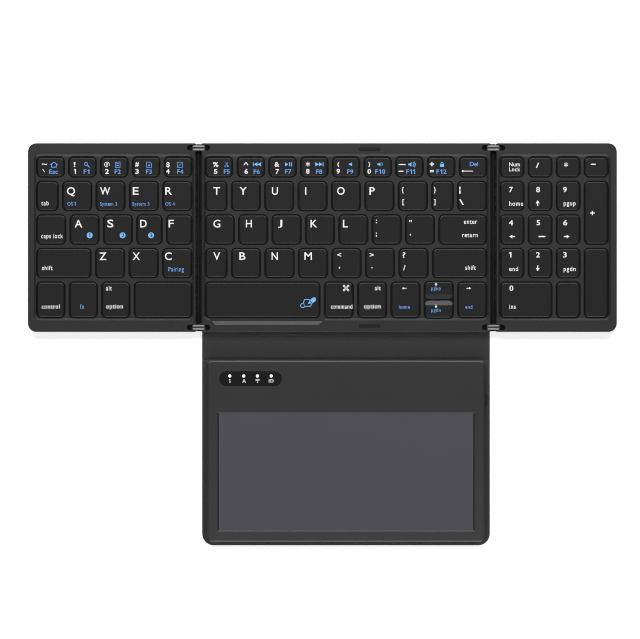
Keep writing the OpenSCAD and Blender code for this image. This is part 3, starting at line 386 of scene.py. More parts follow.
def mesh_from(name, points, faces):
    """Closed mesh with its faces turned outwards."""
    mesh = bpy.data.meshes.new(name)
    mesh.from_pydata([tuple(p) for p in points], [], faces)
    shell = bmesh.new()
    shell.from_mesh(mesh)
    bmesh.ops.recalc_face_normals(shell, faces=shell.faces)
    shell.to_mesh(mesh)
    shell.free()
    return mesh


def bake(piece):
    """Turns an object with modifiers into a plain mesh of the same name."""
    graph = bpy.context.evaluated_depsgraph_get()
    mesh = bpy.data.meshes.new_from_object(piece.evaluated_get(graph))
    mesh.name = piece.name
    old = piece.data
    piece.modifiers.clear()
    piece.data = mesh
    if old.users == 0:
        bpy.data.batch_remove([old])
    return piece


def smooth_by_angle(mesh, degrees=35):
    """Shades a mesh smooth, with sharp edges where it bends more than the angle."""
    for face in mesh.polygons:
        face.use_smooth = True
    mesh.set_sharp_from_angle(angle=math.radians(degrees))


def paint(material, *names):
    for name in names:
        mesh = NODES[name].data
        mesh.materials.clear()
        mesh.materials.append(material)


# Finishes of the pieces that come from the frame

def panel_nodes(part):
    return [name for name in NODES if name.endswith(part)]


class KEYBOARD_OT_mould_cases(bpy.types.Operator):
    """Gives the trays, top frames, touchpad housing and spines their moulded plastic"""
    bl_idname = "keyboard.mould_cases"
    bl_label = "Mould the cases"

    def execute(self, context):
        finishes = context.scene.keyboard_finishes
        abs_case = moulded_plastic("moulded_abs_case", tuple(finishes.case), 0.44, 0.5 * MM, 0.006 * MM)
        paint(abs_case, *panel_nodes("bottom_case"), *panel_nodes("top_frame"))
        abs_housing = moulded_plastic("moulded_abs_housing", tuple(finishes.housing), 0.44, 0.5 * MM,
                                      0.006 * MM)
        # Painted light: the housing is lighter towards its front, and its slopes that face the front get a painted
        # highlight.
        low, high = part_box("touchpad_housing")
        paint_light_along(abs_housing, low.y, high.y - 20 * MM, 1.6)
        paint(paint_slope_highlights(abs_housing, 0.401, 2.0, 1.0), "touchpad_housing")
        nylon = moulded_plastic("moulded_nylon_spine", linear("#0c0c0d"), 0.6, 0.4 * MM, 0.008 * MM,
                                0.25)
        paint(nylon, *panel_nodes("hinge_spine"))
        return {"FINISHED"}


class KEYBOARD_OT_mould_keys(bpy.types.Operator):
    """Gives the key caps and the switch knob their moulded plastic"""
    bl_idname = "keyboard.mould_keys"
    bl_label = "Mould the keys"

    def execute(self, context):
        finishes = context.scene.keyboard_finishes
        abs_cap = moulded_plastic("moulded_abs_keycap", tuple(finishes.cap), 0.39, 0.35 * MM, 0.004 * MM,
                                  0.43)
        paint(abs_cap, *LEGENDS, "power_switch")
        # Painted highlight: the slopes that the up and down keys turn to each other are lighter than their tops.
        slope_highlit_cap = moulded_plastic("rubbed_abs_keycap", tuple(finishes.cap), 0.39, 0.35 * MM, 0.004 * MM, 0.43)
        paint(paint_slope_highlights(slope_highlit_cap, 0.305, 3.6, 2.1), "up_key", "down_key")
        return {"FINISHED"}


class KEYBOARD_OT_fit_metal(bpy.types.Operator):
    """Gives the hinges, brackets, screws and port their metals"""
    bl_idname = "keyboard.fit_metal"
    bl_label = "Fit the metal parts"

    def execute(self, context):
        finishes = context.scene.keyboard_finishes
        top_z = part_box("left_hinge_links")[1].z
        links = brushed_steel("brushed_stainless_steel", tuple(finishes.steel), top_z - 0.38 * MM,
                              top_z - 0.12 * MM)
        paint(links, *panel_nodes("hinge_links"), *panel_nodes("hinge_pins"))
        plated = stamped_steel("zinc_plated_steel")
        paint(plated, *panel_nodes("hinge_brackets"), *panel_nodes("support_plate"), "centre_screws",
              "charging_port")
        return {"FINISHED"}


class KEYBOARD_OT_fit_inside(bpy.types.Operator):
    """Finishes the boards, membranes, battery, bumpers and touch surface"""
    bl_idname = "keyboard.fit_inside"
    bl_label = "Fit the boards, battery and touch surface"

    def execute(self, context):
        finishes = context.scene.keyboard_finishes
        paint(circuit_board("green_circuit_board"), "controller_board", "touchpad_board")
        paint(polymer_film("black_polyester_film", "#141415"), "centre_membrane")
        paint(polymer_film("aluminised_battery_pouch", "#b4b8bd"), "battery")
        paint(soft_rubber("black_silicone_rubber"), "fold_bumpers")
        low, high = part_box("touch_surface")
        paint(satin_plate("etched_satin_glass", tuple(finishes.touch), low.x, high.x), "touch_surface")
        paint(smoked_window("smoked_polycarbonate"), "indicator_window")
        return {"FINISHED"}


# Width of a capital against the built-in typeface's, which draws some letters narrower
LETTER_WIDTHS = {"E": 1.3, "F": 1.25, "L": 1.1, "S": 1.42, "B": 1.15, "R": 1.1, "P": 1.1, "J": 1.5,
                 "T": 1.05, "W": 0.87, "M": 1.05, "U": 0.92, "O": 0.93, "D": 0.92, "H": 0.92, "X": 0.91,
                 "N": 0.88}

# Legends. A mark is (style, what, from the key's left edge, from its rear edge) in mm, then the width
# against the typeface's for a word, or the width and height in mm for a picture or disc.

PICTURE, BLUE_PICTURE, BRIGHT_PICTURE, DISC = "picture", "blue picture", "bright picture", "disc"
LETTER, SIGN, BRACKET, FUNCTION, DIGIT = "letter", "sign", "bracket", "function", "digit"
WORD, CAPITALS, BLUE_WORD, SMALL_BLUE = "word", "capitals", "blue word", "small blue word"

LEGENDS = {
    "left_function_keys": [
        [(SIGN, "~", 2.4, 3.1, 1.25), (PICTURE, "tick", 2.6, 6.1, 1.5, 1.6), (BLUE_PICTURE, "house", 7.0, 2.2, 3.9, 3.0),
         (FUNCTION, "Esc", 6.4, 6.3)],
        [(SIGN, "!", 2.4, 2.2, 1.5), (SIGN, "1", 2.45, 6.1), (BLUE_PICTURE, "lens", 7.9, 2.2, 3.1, 3.1),
         (FUNCTION, "F1", 7.8, 6.3)],
        [(PICTURE, "at", 1.6, 2.1, 3.0, 3.0), (SIGN, "2", 2.05, 6.1, 1.15), (BLUE_PICTURE, "drawer", 7.5, 2.2, 2.9, 3.1),
         (FUNCTION, "F2", 7.3, 6.3)],
        [(SIGN, "#", 1.15, 2.3, 0.82), (SIGN, "3", 1.25, 6.1, 1.15), (BLUE_PICTURE, "page", 7.2, 2.2, 2.9, 3.1),
         (FUNCTION, "F3", 7.0, 6.3)],
        [(SIGN, "$", 0.7, 2.35), (SIGN, "4", 0.55, 6.0), (BLUE_PICTURE, "clip", 6.7, 2.2, 2.9, 3.1),
         (FUNCTION, "F4", 6.6, 6.3)],
    ],
    "left_upper_keys": [
        [(WORD, "tab", 2.1, 10.3)],
        [(LETTER, "Q", 1.95, 2.8), (SMALL_BLUE, "OS 1", 2.2, 10.9)],
        [(LETTER, "W", 1.85, 2.8), (SMALL_BLUE, "System 2", 1.8, 10.9)],
        [(LETTER, "E", 1.45, 2.8), (SMALL_BLUE, "System 3", 1.2, 10.9)],
        [(LETTER, "R", 1.0, 2.8), (SMALL_BLUE, "OS 4", 1.0, 10.9)],
    ],
    "left_home_keys": [
        [(WORD, "caps lock", 2.1, 9.9, 0.93)],
        [(LETTER, "A", 2.15, 2.3), (DISC, "1", 8.65, 9.1, 3.2, 3.2)],
        [(LETTER, "S", 1.75, 2.2), (DISC, "2", 8.45, 9.1, 3.2, 3.2)],
        [(LETTER, "D", 1.55, 2.3), (DISC, "3", 5.85, 9.1, 3.2, 3.2)],
        [(LETTER, "F", 0.8, 2.3)],
    ],
    "left_lower_keys": [
        [(WORD, "shift", 2.5, 8.95)],
        [(LETTER, "Z", 1.8, 1.8)],
        [(LETTER, "X", 1.55, 1.8)],
        [(LETTER, "C", 0.85, 1.7), (BLUE_WORD, "Pairing", 2.8, 9.7)],
    ],
    "left_modifier_keys": [
        [(WORD, "control", 2.3, 11.7)],
        [(BLUE_WORD, "fn", 5.5, 11.7)],
        [(WORD, "alt", 1.9, 1.8), (WORD, "option", 2.0, 11.7, 1.06)],
        [],
    ],
    "centre_function_keys": [
        [(SIGN, "%", 3.75, 2.3, 1.12), (SIGN, "5", 4.25, 6.1, 1.15), (BLUE_PICTURE, "scissors", 10.0, 2.3, 2.4, 2.8),
         (FUNCTION, "F5", 9.6, 6.3)],
        [(PICTURE, "roof", 3.1, 2.4, 2.6, 1.6), (SIGN, "6", 3.6, 6.0, 1.05), (BRIGHT_PICTURE, "back", 8.2, 2.4, 4.4, 2.2),
         (FUNCTION, "F6", 8.6, 6.3)],
        [(SIGN, "&", 2.7, 2.3), (SIGN, "7", 3.25, 6.1), (BRIGHT_PICTURE, "play", 8.4, 2.4, 3.8, 2.2),
         (FUNCTION, "F7", 8.4, 6.3)],
        [(PICTURE, "asterisk", 2.3, 2.1, 2.6, 2.6), (SIGN, "8", 2.6, 6.0), (BRIGHT_PICTURE, "forward", 7.6, 2.4, 4.4, 2.2),
         (FUNCTION, "F8", 8.0, 6.3)],
        [(BRACKET, "(", 2.4, 2.2), (SIGN, "9", 1.9, 6.0), (BRIGHT_PICTURE, "speaker", 8.6, 2.4, 1.7, 2.2),
         (FUNCTION, "F9", 7.7, 6.3)],
        [(BRACKET, ")", 1.85, 2.2), (SIGN, "0", 1.5, 6.0), (BRIGHT_PICTURE, "quiet", 6.8, 2.4, 3.2, 2.2),
         (FUNCTION, "F10", 5.7, 6.3)],
        [(PICTURE, "bar", 1.1, 3.4, 3.8, 0.5), (PICTURE, "bar", 1.1, 7.0, 2.7, 0.5),
         (BRIGHT_PICTURE, "loud", 6.4, 2.3, 3.9, 2.6), (FUNCTION, "F11", 5.3, 6.3)],
        [(PICTURE, "plus", 0.8, 2.2, 2.4, 2.4), (SIGN, "=", 0.9, 6.6), (BRIGHT_PICTURE, "lock", 6.4, 2.1, 2.2, 2.8),
         (FUNCTION, "F12", 4.5, 6.3)],
        [(PICTURE, "long arrow", 0.8, 6.5, 6.3, 1.4), (FUNCTION, "Del", 5.3, 2.2, 0.9)],
    ],
    "centre_upper_keys": [
        [(LETTER, "T", 3.95, 2.8)],
        [(LETTER, "Y", 4.15, 2.8)],
        [(LETTER, "U", 3.55, 2.8)],
        [(LETTER, "I", 3.4, 2.8)],
        [(LETTER, "O", 2.65, 2.7)],
        [(LETTER, "P", 2.1, 2.8)],
        [(SIGN, "{", 1.5, 2.7, 0.84), (SIGN, "[", 1.9, 9.3, 0.84)],
        [(SIGN, "}", 0.8, 2.7, 0.84), (SIGN, "]", 0.8, 9.3, 0.84)],
        [(DIGIT, "¦", 0.5, 2.6, 1.5), (DIGIT, "\\", 0.5, 9.4, 1.75)],
    ],
    "centre_home_keys": [
        [(LETTER, "G", 3.95, 2.3)],
        [(LETTER, "H", 3.5, 2.3)],
        [(LETTER, "J", 2.9, 2.3)],
        [(LETTER, "K", 2.4, 2.3)],
        [(LETTER, "L", 1.85, 2.3)],
        [(DIGIT, ":", 1.6, 2.2), (DIGIT, ";", 1.6, 9.2)],
        [(DIGIT, '"', 1.6, 2.4, 1.15), (DIGIT, "'", 2.0, 9.9)],
    ],
    "enter_key": [[(WORD, "enter", 13.2, 2.5), (WORD, "return", 12.3, 9.7)]],
    "centre_lower_keys": [
        [(LETTER, "V", 3.95, 1.7)],
        [(LETTER, "B", 3.95, 1.7)],
        [(LETTER, "N", 3.25, 1.7)],
        [(LETTER, "M", 2.9, 1.7)],
        [(DIGIT, "<", 2.55, 2.0, 0.92), (DIGIT, ",", 3.3, 9.6)],
        [(DIGIT, ">", 1.9, 2.0), (DIGIT, ".", 2.8, 9.8)],
        [(DIGIT, "?", 1.5, 1.7, 1.5), (DIGIT, "/", 1.85, 8.6)],
        [(WORD, "shift", 17.4, 8.8)],
    ],
    "space_bar": [[(BRIGHT_PICTURE, "pointer pad", 51.0, 7.8, 8.6, 6.0)]],
    "centre_modifier_keys": [
        [(PICTURE, "four rings", 9.65, 1.1, 3.6, 3.6), (WORD, "command", 3.2, 11.7, 0.92)],
        [(WORD, "alt", 8.9, 1.7), (WORD, "option", 3.0, 11.7, 1.06)],
        [(PICTURE, "arrow left", 5.5, 2.3, 2.5, 1.4), (SMALL_BLUE, "home", 3.9, 12.2, 1.06)],
        [(PICTURE, "arrow right", 4.4, 2.3, 2.5, 1.4), (SMALL_BLUE, "end", 3.8, 12.2, 1.06)],
    ],
    "up_key": [[(PICTURE, "arrow up", 5.2, 0.3, 1.5, 2.0), (SMALL_BLUE, "pgup", 3.4, 3.0, 1.08)]],
    "down_key": [[(PICTURE, "arrow down", 5.2, 2.1, 1.5, 2.0), (SMALL_BLUE, "pgdn", 3.4, 4.2, 1.08)]],
    "pad_top_keys": [
        [(CAPITALS, "Num", 4.5, 2.5), (CAPITALS, "Lock", 4.5, 5.2)],
        [(DIGIT, "/", 3.75, 2.6, 1.25)],
        [(PICTURE, "asterisk", 3.6, 2.5, 2.5, 2.5)],
        [(PICTURE, "bar", 3.1, 3.2, 2.6, 0.6)],
    ],
    "pad_789_keys": [
        [(DIGIT, "7", 4.35, 2.7), (WORD, "home", 4.5, 10.5, 1.06)],
        [(DIGIT, "8", 3.85, 2.7), (PICTURE, "arrow up", 3.6, 9.9, 2.2, 3.1)],
        [(DIGIT, "9", 3.25, 2.7), (WORD, "pgup", 3.6, 11.0, 1.08)],
    ],
    "pad_456_keys": [
        [(DIGIT, "4", 4.35, 2.4), (PICTURE, "arrow left", 4.6, 10.3, 3.1, 2.1)],
        [(DIGIT, "5", 4.1, 2.4), (PICTURE, "bar", 5.2, 11.0, 3.7, 0.7)],
        [(DIGIT, "6", 3.35, 2.4, 1.1), (PICTURE, "arrow right", 3.7, 10.3, 3.1, 2.1)],
    ],
    "pad_123_keys": [
        [(DIGIT, "1", 4.35, 1.6), (WORD, "end", 4.5, 9.5, 1.06)],
        [(DIGIT, "2", 3.85, 1.6), (PICTURE, "arrow down", 3.65, 8.8, 2.2, 3.1)],
        [(DIGIT, "3", 3.3, 1.6, 1.1), (WORD, "pgdn", 3.6, 9.5, 1.08)],
    ],
    "pad_zero_keys": [[(DIGIT, "0", 4.6, 1.5), (WORD, "ins", 4.6, 11.9)], []],
    "pad_plus_key": [[(PICTURE, "plus", 2.75, 15.6, 2.4, 2.4)]],
    "pad_enter_key": [[]],
}


def circle_points(x, y, radius, count=20, start=0.0, turn=360.0):
    steps = count if turn == 360.0 else count + 1
    return [(x + radius * math.cos(math.radians(start + turn * i / count)),
             y + radius * math.sin(math.radians(start + turn * i / count))) for i in range(steps)]


def stroke(points, width, closed=False):
    """Outline quads of a line of the given width, one for each stretch, with mitred joints."""
    count = len(points)
    sides = []
    for i, (x, y) in enumerate(points):
        before = points[(i - 1) % count] if closed or i > 0 else points[i]
        after = points[(i + 1) % count] if closed or i < count - 1 else points[i]
        into = Vector((x - before[0], y - before[1]))
        out = Vector((after[0] - x, after[1] - y))
        into = into.normalized() if into.length > 1e-9 else out.normalized()
        out = out.normalized() if out.length > 1e-9 else into
        along = (into + out)
        along = along.normalized() if along.length > 1e-6 else into
        reach = width / 2 / max(0.35, along.dot(into))
        across = Vector((-along.y, along.x)) * reach
        sides.append(((x + across.x, y + across.y), (x - across.x, y - across.y)))
    spans = range(count if closed else count - 1)
    return [[sides[i][0], sides[(i + 1) % count][0], sides[(i + 1) % count][1], sides[i][1]] for i in spans]


def picture(what, w, h):
    """Flat outlines of a pictogram in a box w by h mm, with its origin at the lower left."""
    line = 0.28
    if what == "bar":
        return [[(0, 0), (w, 0), (w, h), (0, h)]]
    if what == "tick":
        return [[(0, h), (w - 0.4, 0), (w, 0), (0.4, h)]]
    if what == "one":
        stem = w - 0.5 * w
        return [[(stem, 0), (w, 0), (w, h), (stem, h)],
                [(0, h * 0.66), (stem, h * 0.8), (stem, h), (0, h * 0.83)]]
    if what == "at":
        return (stroke(circle_points(w / 2, h / 2, w * 0.43, 20, -30, 320), line)
                + stroke(circle_points(w * 0.52, h / 2, w * 0.16, 12), line, True))
    if what == "asterisk":
        return [shape for turn in (30, 90, 150) for shape in stroke(
            circle_points(w / 2, h / 2, w / 2, 2, turn)[:2], line * 1.3)]
    if what == "roof":
        return stroke([(0.1, 0), (w / 2, h - 0.1), (w - 0.1, 0)], line * 1.5)
    if what == "plus":
        arm = 0.55
        return [[(0, h / 2 - arm / 2), (w, h / 2 - arm / 2), (w, h / 2 + arm / 2), (0, h / 2 + arm / 2)],
                [(w / 2 - arm / 2, 0), (w / 2 + arm / 2, 0), (w / 2 + arm / 2, h / 2 - arm / 2),
                 (w / 2 - arm / 2, h / 2 - arm / 2)],
                [(w / 2 - arm / 2, h / 2 + arm / 2), (w / 2 + arm / 2, h / 2 + arm / 2),
                 (w / 2 + arm / 2, h), (w / 2 - arm / 2, h)]]
    if what in ("arrow left", "arrow right", "long arrow"):
        head = min(0.55 * w, 0.75 * h)
        shaft = 0.28 * h
        shapes = [[(0, h / 2), (head, 0), (head, h)],
                  [(head, h / 2 - shaft / 2), (w, h / 2 - shaft / 2), (w, h / 2 + shaft / 2),
                   (head, h / 2 + shaft / 2)]]
        return shapes if what != "arrow right" else [[(w - x, y) for x, y in s] for s in shapes]
    if what in ("arrow up", "arrow down"):
        head = min(0.55 * h, 0.75 * w)
        shaft = 0.28 * w
        shapes = [[(w / 2, 0), (w, head), (0, head)],
                  [(w / 2 - shaft / 2, head), (w / 2 + shaft / 2, head), (w / 2 + shaft / 2, h),
                   (w / 2 - shaft / 2, h)]]
        return shapes if what == "arrow down" else [[(x, h - y) for x, y in s] for s in shapes]
    if what == "house":
        return (stroke([(w * 0.18, 0.14), (w * 0.82, 0.14), (w * 0.82, h * 0.5), (w * 0.98, h * 0.5),
                        (w / 2, h * 0.95), (w * 0.02, h * 0.5), (w * 0.18, h * 0.5)], line * 1.4, True))
    if what == "lens":
        return (stroke(circle_points(w * 0.38, h * 0.64, w * 0.28, 16), line * 1.2, True)
                + stroke([(w * 0.6, h * 0.42), (w, 0.05)], line * 1.8))
    if what == "drawer":
        return (stroke([(0.15, 0.15), (w - 0.15, 0.15), (w - 0.15, h - 0.15), (0.15, h - 0.15)], line, True)
                + [[(w * 0.25, h * 0.6), (w * 0.75, h * 0.6), (w * 0.75, h * 0.72), (w * 0.25, h * 0.72)],
                   [(w * 0.25, h * 0.28), (w * 0.75, h * 0.28), (w * 0.75, h * 0.4), (w * 0.25, h * 0.4)]])
    if what == "page":
        return (stroke([(0.15, 0.15), (w - 0.15, 0.15), (w - 0.15, h * 0.7), (w * 0.62, h - 0.15),
                        (0.15, h - 0.15)], line, True)
                + [circle_points(w * 0.52, h * 0.4, w * 0.17, 12)])
    if what == "clip":
        return (stroke([(0.15, 0.15), (w - 0.15, 0.15), (w - 0.15, h - 0.3), (0.15, h - 0.3)], line, True)
                + stroke([(w * 0.28, h * 0.3), (w * 0.72, h * 0.68)], line)
                + [[(w * 0.33, h * 0.82), (w * 0.67, h * 0.82), (w * 0.67, h), (w * 0.33, h)]])
    if what == "scissors":
        return (stroke([(w * 0.2, h), (w * 0.72, h * 0.3)], line)
                + stroke([(w * 0.8, h), (w * 0.28, h * 0.3)], line)
                + stroke(circle_points(w * 0.2, h * 0.17, w * 0.15, 12), line * 0.8, True)
                + stroke(circle_points(w * 0.8, h * 0.17, w * 0.15, 12), line * 0.8, True))
    if what in ("back", "forward"):
        half = (w - 0.45) / 2
        shapes = [[(0, 0), (0.35, 0), (0.35, h), (0, h)],
                  [(0.45, h / 2), (0.45 + half, 0), (0.45 + half, h)],
                  [(0.45 + half, h / 2), (w, 0), (w, h)]]
        return shapes if what == "back" else [[(w - x, y) for x, y in s] for s in shapes]
    if what == "play":
        return [[(0, 0), (w * 0.46, h / 2), (0, h)],
                [(w * 0.58, 0), (w * 0.7, 0), (w * 0.7, h), (w * 0.58, h)],
                [(w * 0.84, 0), (w * 0.96, 0), (w * 0.96, h), (w * 0.84, h)]]
    if what in ("speaker", "quiet", "loud"):
        horn = 1.7
        shapes = [[(0, h * 0.32), (horn * 0.4, h * 0.32), (horn, 0.05), (horn, h - 0.05),
                   (horn * 0.4, h * 0.68), (0, h * 0.68)]]
        waves = {"speaker": 0, "quiet": 1, "loud": 3}[what]
        for i in range(waves):
            arc = circle_points(horn * 0.7, h / 2, 1.5 + 0.55 * i, 8, -38, 76)
            shapes += stroke(arc, line * 0.9)
        return shapes
    if what == "lock":
        body = h * 0.52
        return ([[(0, 0), (w, 0), (w, body), (0, body)]]
                + stroke([(w * 0.24, body)] + circle_points(w / 2, h * 0.68, w * 0.27, 8, 180, -180)
                         + [(w * 0.76, body)], line * 1.1))
    if what == "four rings":
        ring = w * 0.17
        low, high = ring + 0.05, w - ring - 0.05
        shapes = []
        for x in (low, high):
            for y in (low, high):
                shapes += stroke(circle_points(x, y, ring * 0.72, 12), line * 1.2, True)
        inner = [(w / 2, h * 0.28), (w * 0.72, h / 2), (w / 2, h * 0.72), (w * 0.28, h / 2)]
        return shapes + stroke(inner, line * 1.3, True)
    if what == "pointer pad":
        pad = [(w * 0.3, h * 0.17), (w * 0.66, h * 0.17), (w * 0.74, h * 0.45), (w * 0.56, h * 0.78),
               (w * 0.28, h * 0.78), (w * 0.2, h * 0.5)]
        hand = [(w * 0.48, h * 0.4), (w * 0.62, h * 0.42), (w * 0.8, h * 0.46), (w * 0.96, h * 0.62),
                (w, h * 0.86), (w * 0.92, h), (w * 0.78, h * 0.94), (w * 0.6, h * 0.72)]
        return (stroke(pad, line * 1.4, True) + [hand]
                + stroke(circle_points(w * 0.16, h * 0.24, w * 0.13, 16), line * 1.4, True))
    raise ValueError(what)


def prism(outline, low, high):
    """Points and faces of an outline in millimetres, raised between two heights in metres."""
    count = len(outline)
    points = [(x * MM, y * MM, low) for x, y in outline] + [(x * MM, y * MM, high) for x, y in outline]
    faces = [list(range(count))[::-1], list(range(count, 2 * count))]
    faces += [[i, (i + 1) % count, count + (i + 1) % count, count + i] for i in range(count)]
    return points, faces


def text_mesh(characters, height, weight, spacing):
    """Raised lettering in the built-in typeface, with its capital height at the given size."""
    curve = bpy.data.curves.new("lettering", "FONT")
    curve.body = characters
    curve.size = height / 0.73
    curve.offset = weight * height
    curve.space_character = spacing
    curve.extrude = 0.5 * MM
    curve.resolution_u = 3
    holder = bpy.data.objects.new("lettering", curve)
    bpy.context.scene.collection.objects.link(holder)
    graph = bpy.context.evaluated_depsgraph_get()
    mesh = bpy.data.meshes.new_from_object(holder.evaluated_get(graph))
    bpy.data.objects.remove(holder)
    bpy.data.curves.remove(curve)
    return mesh


def lift_small(y, height):
    """Raises the small letters to the tall ones' height that the printed typeface has."""
    small, tall = 0.615 * height, 0.934 * height
    lifted = 1.07 * small
    if y <= 0:
        return y
    if y <= small:
        return y * lifted / small
    return lifted + (y - small) * (tall - lifted) / (tall - small)


def add_text(shell, characters, height, weight, left, top, low, high, widen, spacing):
    """Adds lettering to a bmesh with the top left of its ink at (left, top), and gives its right edge."""
    mesh = text_mesh(characters, height, weight, spacing)
    xs = [v.co.x for v in mesh.vertices]
    if spacing > 1:
        for vertex in mesh.vertices:
            vertex.co.y = lift_small(vertex.co.y, height)
    ys = [v.co.y for v in mesh.vertices]
    # The built-in J hangs below the line; the printed one stands on it.
    squeeze = height / (max(ys) - min(ys)) if characters == "J" else 1.0
    first = len(shell.verts)
    shell.from_mesh(mesh)
    shell.verts.ensure_lookup_table()
    for vertex in shell.verts[first:]:
        x, y, z = vertex.co
        vertex.co = (left + widen * (x - min(xs)), top + squeeze * (y - max(ys)), high if z > 0 else low)
    bpy.data.meshes.remove(mesh)
    return left + widen * (max(xs) - min(xs))


def add_shapes(shell, shapes, left, top, height, low, high):
    """Adds flat outlines, in millimetres, with the top left of their box at (left, top)."""
    for outline in shapes:
        placed = [(left / MM + x, top / MM - height + y) for x, y in outline]
        points, faces = prism(placed, low, high)
        vertices = [shell.verts.new(p) for p in points]
        for face in faces:
            shell.faces.new([vertices[i] for i in face])


def add_line(shell, characters, height, weight, left, top, low, high, widen=1.0, spacing=1.0):
    """Adds a line of lettering; a figure one is drawn, as the built-in typeface has it without a flag."""
    for run in re.findall("1|[^1]+", characters):
        if run == "1":
            width = 0.4 * height * widen
            add_shapes(shell, picture("one", width / MM, height / MM), left, top, height / MM, low, high)
            left += width
        else:
            left = add_text(shell, run, height, weight, left, top, low, high, widen, spacing)
        left += (0.5 if run.endswith(" ") else 0.2) * height * widen


def solids_of(node):
    """Bmesh of a node, with the groups of vertices that its separate solids have."""
    shell = bmesh.new()
    shell.from_mesh(NODES[node].data)
    bmesh.ops.remove_doubles(shell, verts=shell.verts, dist=0.002 * MM)
    shell.verts.index_update()
    left, groups = set(shell.verts), []
    while left:
        reached, edge = set(), [left.pop()]
        while edge:
            vertex = edge.pop()
            reached.add(vertex)
            for link in vertex.link_edges:
                other = link.other_vert(vertex)
                if other in left:
                    left.discard(other)
                    edge.append(other)
        groups.append(reached)
    return shell, groups


def corners(vertices):
    """Lowest and highest corner of some vertices."""
    return tuple(Vector(pick(v.co[i] for v in vertices) for i in range(3)) for pick in (min, max))


def caps_of(node):
    """Key caps of a node from left to right, each as its lowest and highest corner."""
    shell, groups = solids_of(node)
    boxes = [corners(group) for group in groups]
    shell.free()
    return sorted(boxes, key=lambda box: box[0].x)


def part_of(shell, indices, name):
    """Mesh of the vertices with the given indices, and its lowest corner."""
    part = shell.copy()
    part.verts.index_update()
    bmesh.ops.delete(part, geom=[v for v in part.verts if v.index not in indices], context="VERTS")
    low = corners(part.verts)[0]
    mesh = bpy.data.meshes.new(name)
    part.to_mesh(mesh)
    part.free()
    smooth_by_angle(mesh)
    return mesh, low


class KEYBOARD_OT_spring_keys(bpy.types.Operator):
    """Fits each panel's membrane, and its domes and levers row by row"""
    bl_idname = "keyboard.spring_keys"
    bl_label = "Fit the domes and levers"

    def execute(self, context):
        rubber = soft_rubber("black_silicone_domes_and_nylon_levers", "#19191a")
        film = polymer_film("black_polyester_sheet", "#141415")
        for node, panel in (("left_key_mechanisms", "left_panel"), ("centre_key_mechanisms", "centre"),
                            ("right_key_mechanisms", "right_panel")):
            shell, groups = solids_of(node)
            small = []
            for group in groups:
                start, end = corners(group)
                indices = {vertex.index for vertex in group}
                if end.x - start.x > 30 * MM:
                    sheet = new_object(f"{panel}_membrane", part_of(shell, indices, f"{panel}_membrane")[0], film)
                    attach(sheet, panel)
                    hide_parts(node)
                else:
                    small.append(((start + end) / 2, indices))
            for joint in frame["joints"]:
                row = joint["child"]
                if row not in LEGENDS or joint["parent"] != panel:
                    continue
                caps = caps_of(row)
                wanted = set().union(*(indices for middle, indices in small if any(
                    a.x < middle.x < b.x and a.y < middle.y < b.y for a, b in caps)))
                mesh, low = part_of(shell, wanted, f"{row}_domes_and_levers")
                piece = new_object(mesh.name, mesh, rubber)
                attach(piece, panel)
                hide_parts(node)
                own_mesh(piece)
            shell.free()
        return {"FINISHED"}


class KEYBOARD_OT_print_legends(bpy.types.Operator):
    """Prints the letters, figures, words and pictograms on every key cap"""
    bl_idname = "keyboard.print_legends"
    bl_label = "Print the legends"

    def execute(self, context):
        sizes = context.scene.keyboard_sizes
        finishes = context.scene.keyboard_finishes
        inks = {"white": ink("white_pad_print", tuple(finishes.white_ink)),
                "blue": ink("blue_pad_print", tuple(finishes.blue_ink)),
                "bright": ink("bright_blue_pad_print", tuple(finishes.bright_ink)),
                "dark": ink("black_pad_print", tuple(finishes.cap))}
        styles = {LETTER: ("white", sizes.letter, 0.012, 1.0, 1.0),
                  SIGN: ("white", sizes.symbol, 0.025, 1.12, 1.0),
                  BRACKET: ("white", 0.82 * sizes.symbol, 0.03, 1.2, 1.0),
                  FUNCTION: ("blue", sizes.function, 0.015, 1.15, 1.0),
                  DIGIT: ("white", sizes.digit, 0.02, 1.15, 1.0),
                  WORD: ("white", sizes.word, 0.012, 0.85, 1.15),
                  CAPITALS: ("white", 0.88 * sizes.word, 0.014, 0.92, 1.12),
                  BLUE_WORD: ("blue", sizes.word, 0.01, 0.8, 1.14),
                  SMALL_BLUE: ("blue", sizes.small_word, 0.008, 0.84, 1.14)}
        for node, keys in LEGENDS.items():
            shells = {name: bmesh.new() for name in inks}
            for (low, high), marks in zip(caps_of(node), keys):
                for mark in marks:
                    self.print_mark(shells, styles, mark, low, high, sizes.ink)
            for name, shell in shells.items():
                if shell.faces:
                    mesh = bpy.data.meshes.new(f"{node}_{name}_print")
                    bmesh.ops.recalc_face_normals(shell, faces=shell.faces)
                    shell.to_mesh(mesh)
                    piece = new_object(mesh.name, mesh, inks[name])
                    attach(piece, node)
                shell.free()
        return {"FINISHED"}

    def print_mark(self, shells, styles, mark, low, high, thickness):
        style, what = mark[:2]
        left, top = low.x + mark[2] * MM, high.y - mark[3] * MM
        base, face = high.z, high.z + thickness
        if style in styles:
            name, height, weight, widen, spacing = styles[style]
            if style == LETTER:
                widen = LETTER_WIDTHS.get(what, 1.0)
            elif len(mark) > 4:
                widen *= mark[4]
            add_line(shells[name], what, height, weight, left, top, base, face, widen, spacing)
        elif style == DISC:
            width, height = mark[4:]
            disc = [circle_points(width / 2, height / 2, width / 2, 32)]
            add_shapes(shells["bright"], disc, left, top, height, base, face)
            add_line(shells["dark"], what, 2.1 * MM, 0.02, left + 1.05 * MM, top - 0.55 * MM, face,
                     face + thickness, 1.1)
        else:
            width, height = mark[4:]
            name = {PICTURE: "white", BLUE_PICTURE: "blue", BRIGHT_PICTURE: "bright"}[style]
            add_shapes(shells[name], picture(what, width, height), left, top, height, base, face)


# Cover

def arc(centre, radius, start, turn, count):
    return circle_points(centre[0], centre[1], radius, count, start, turn)


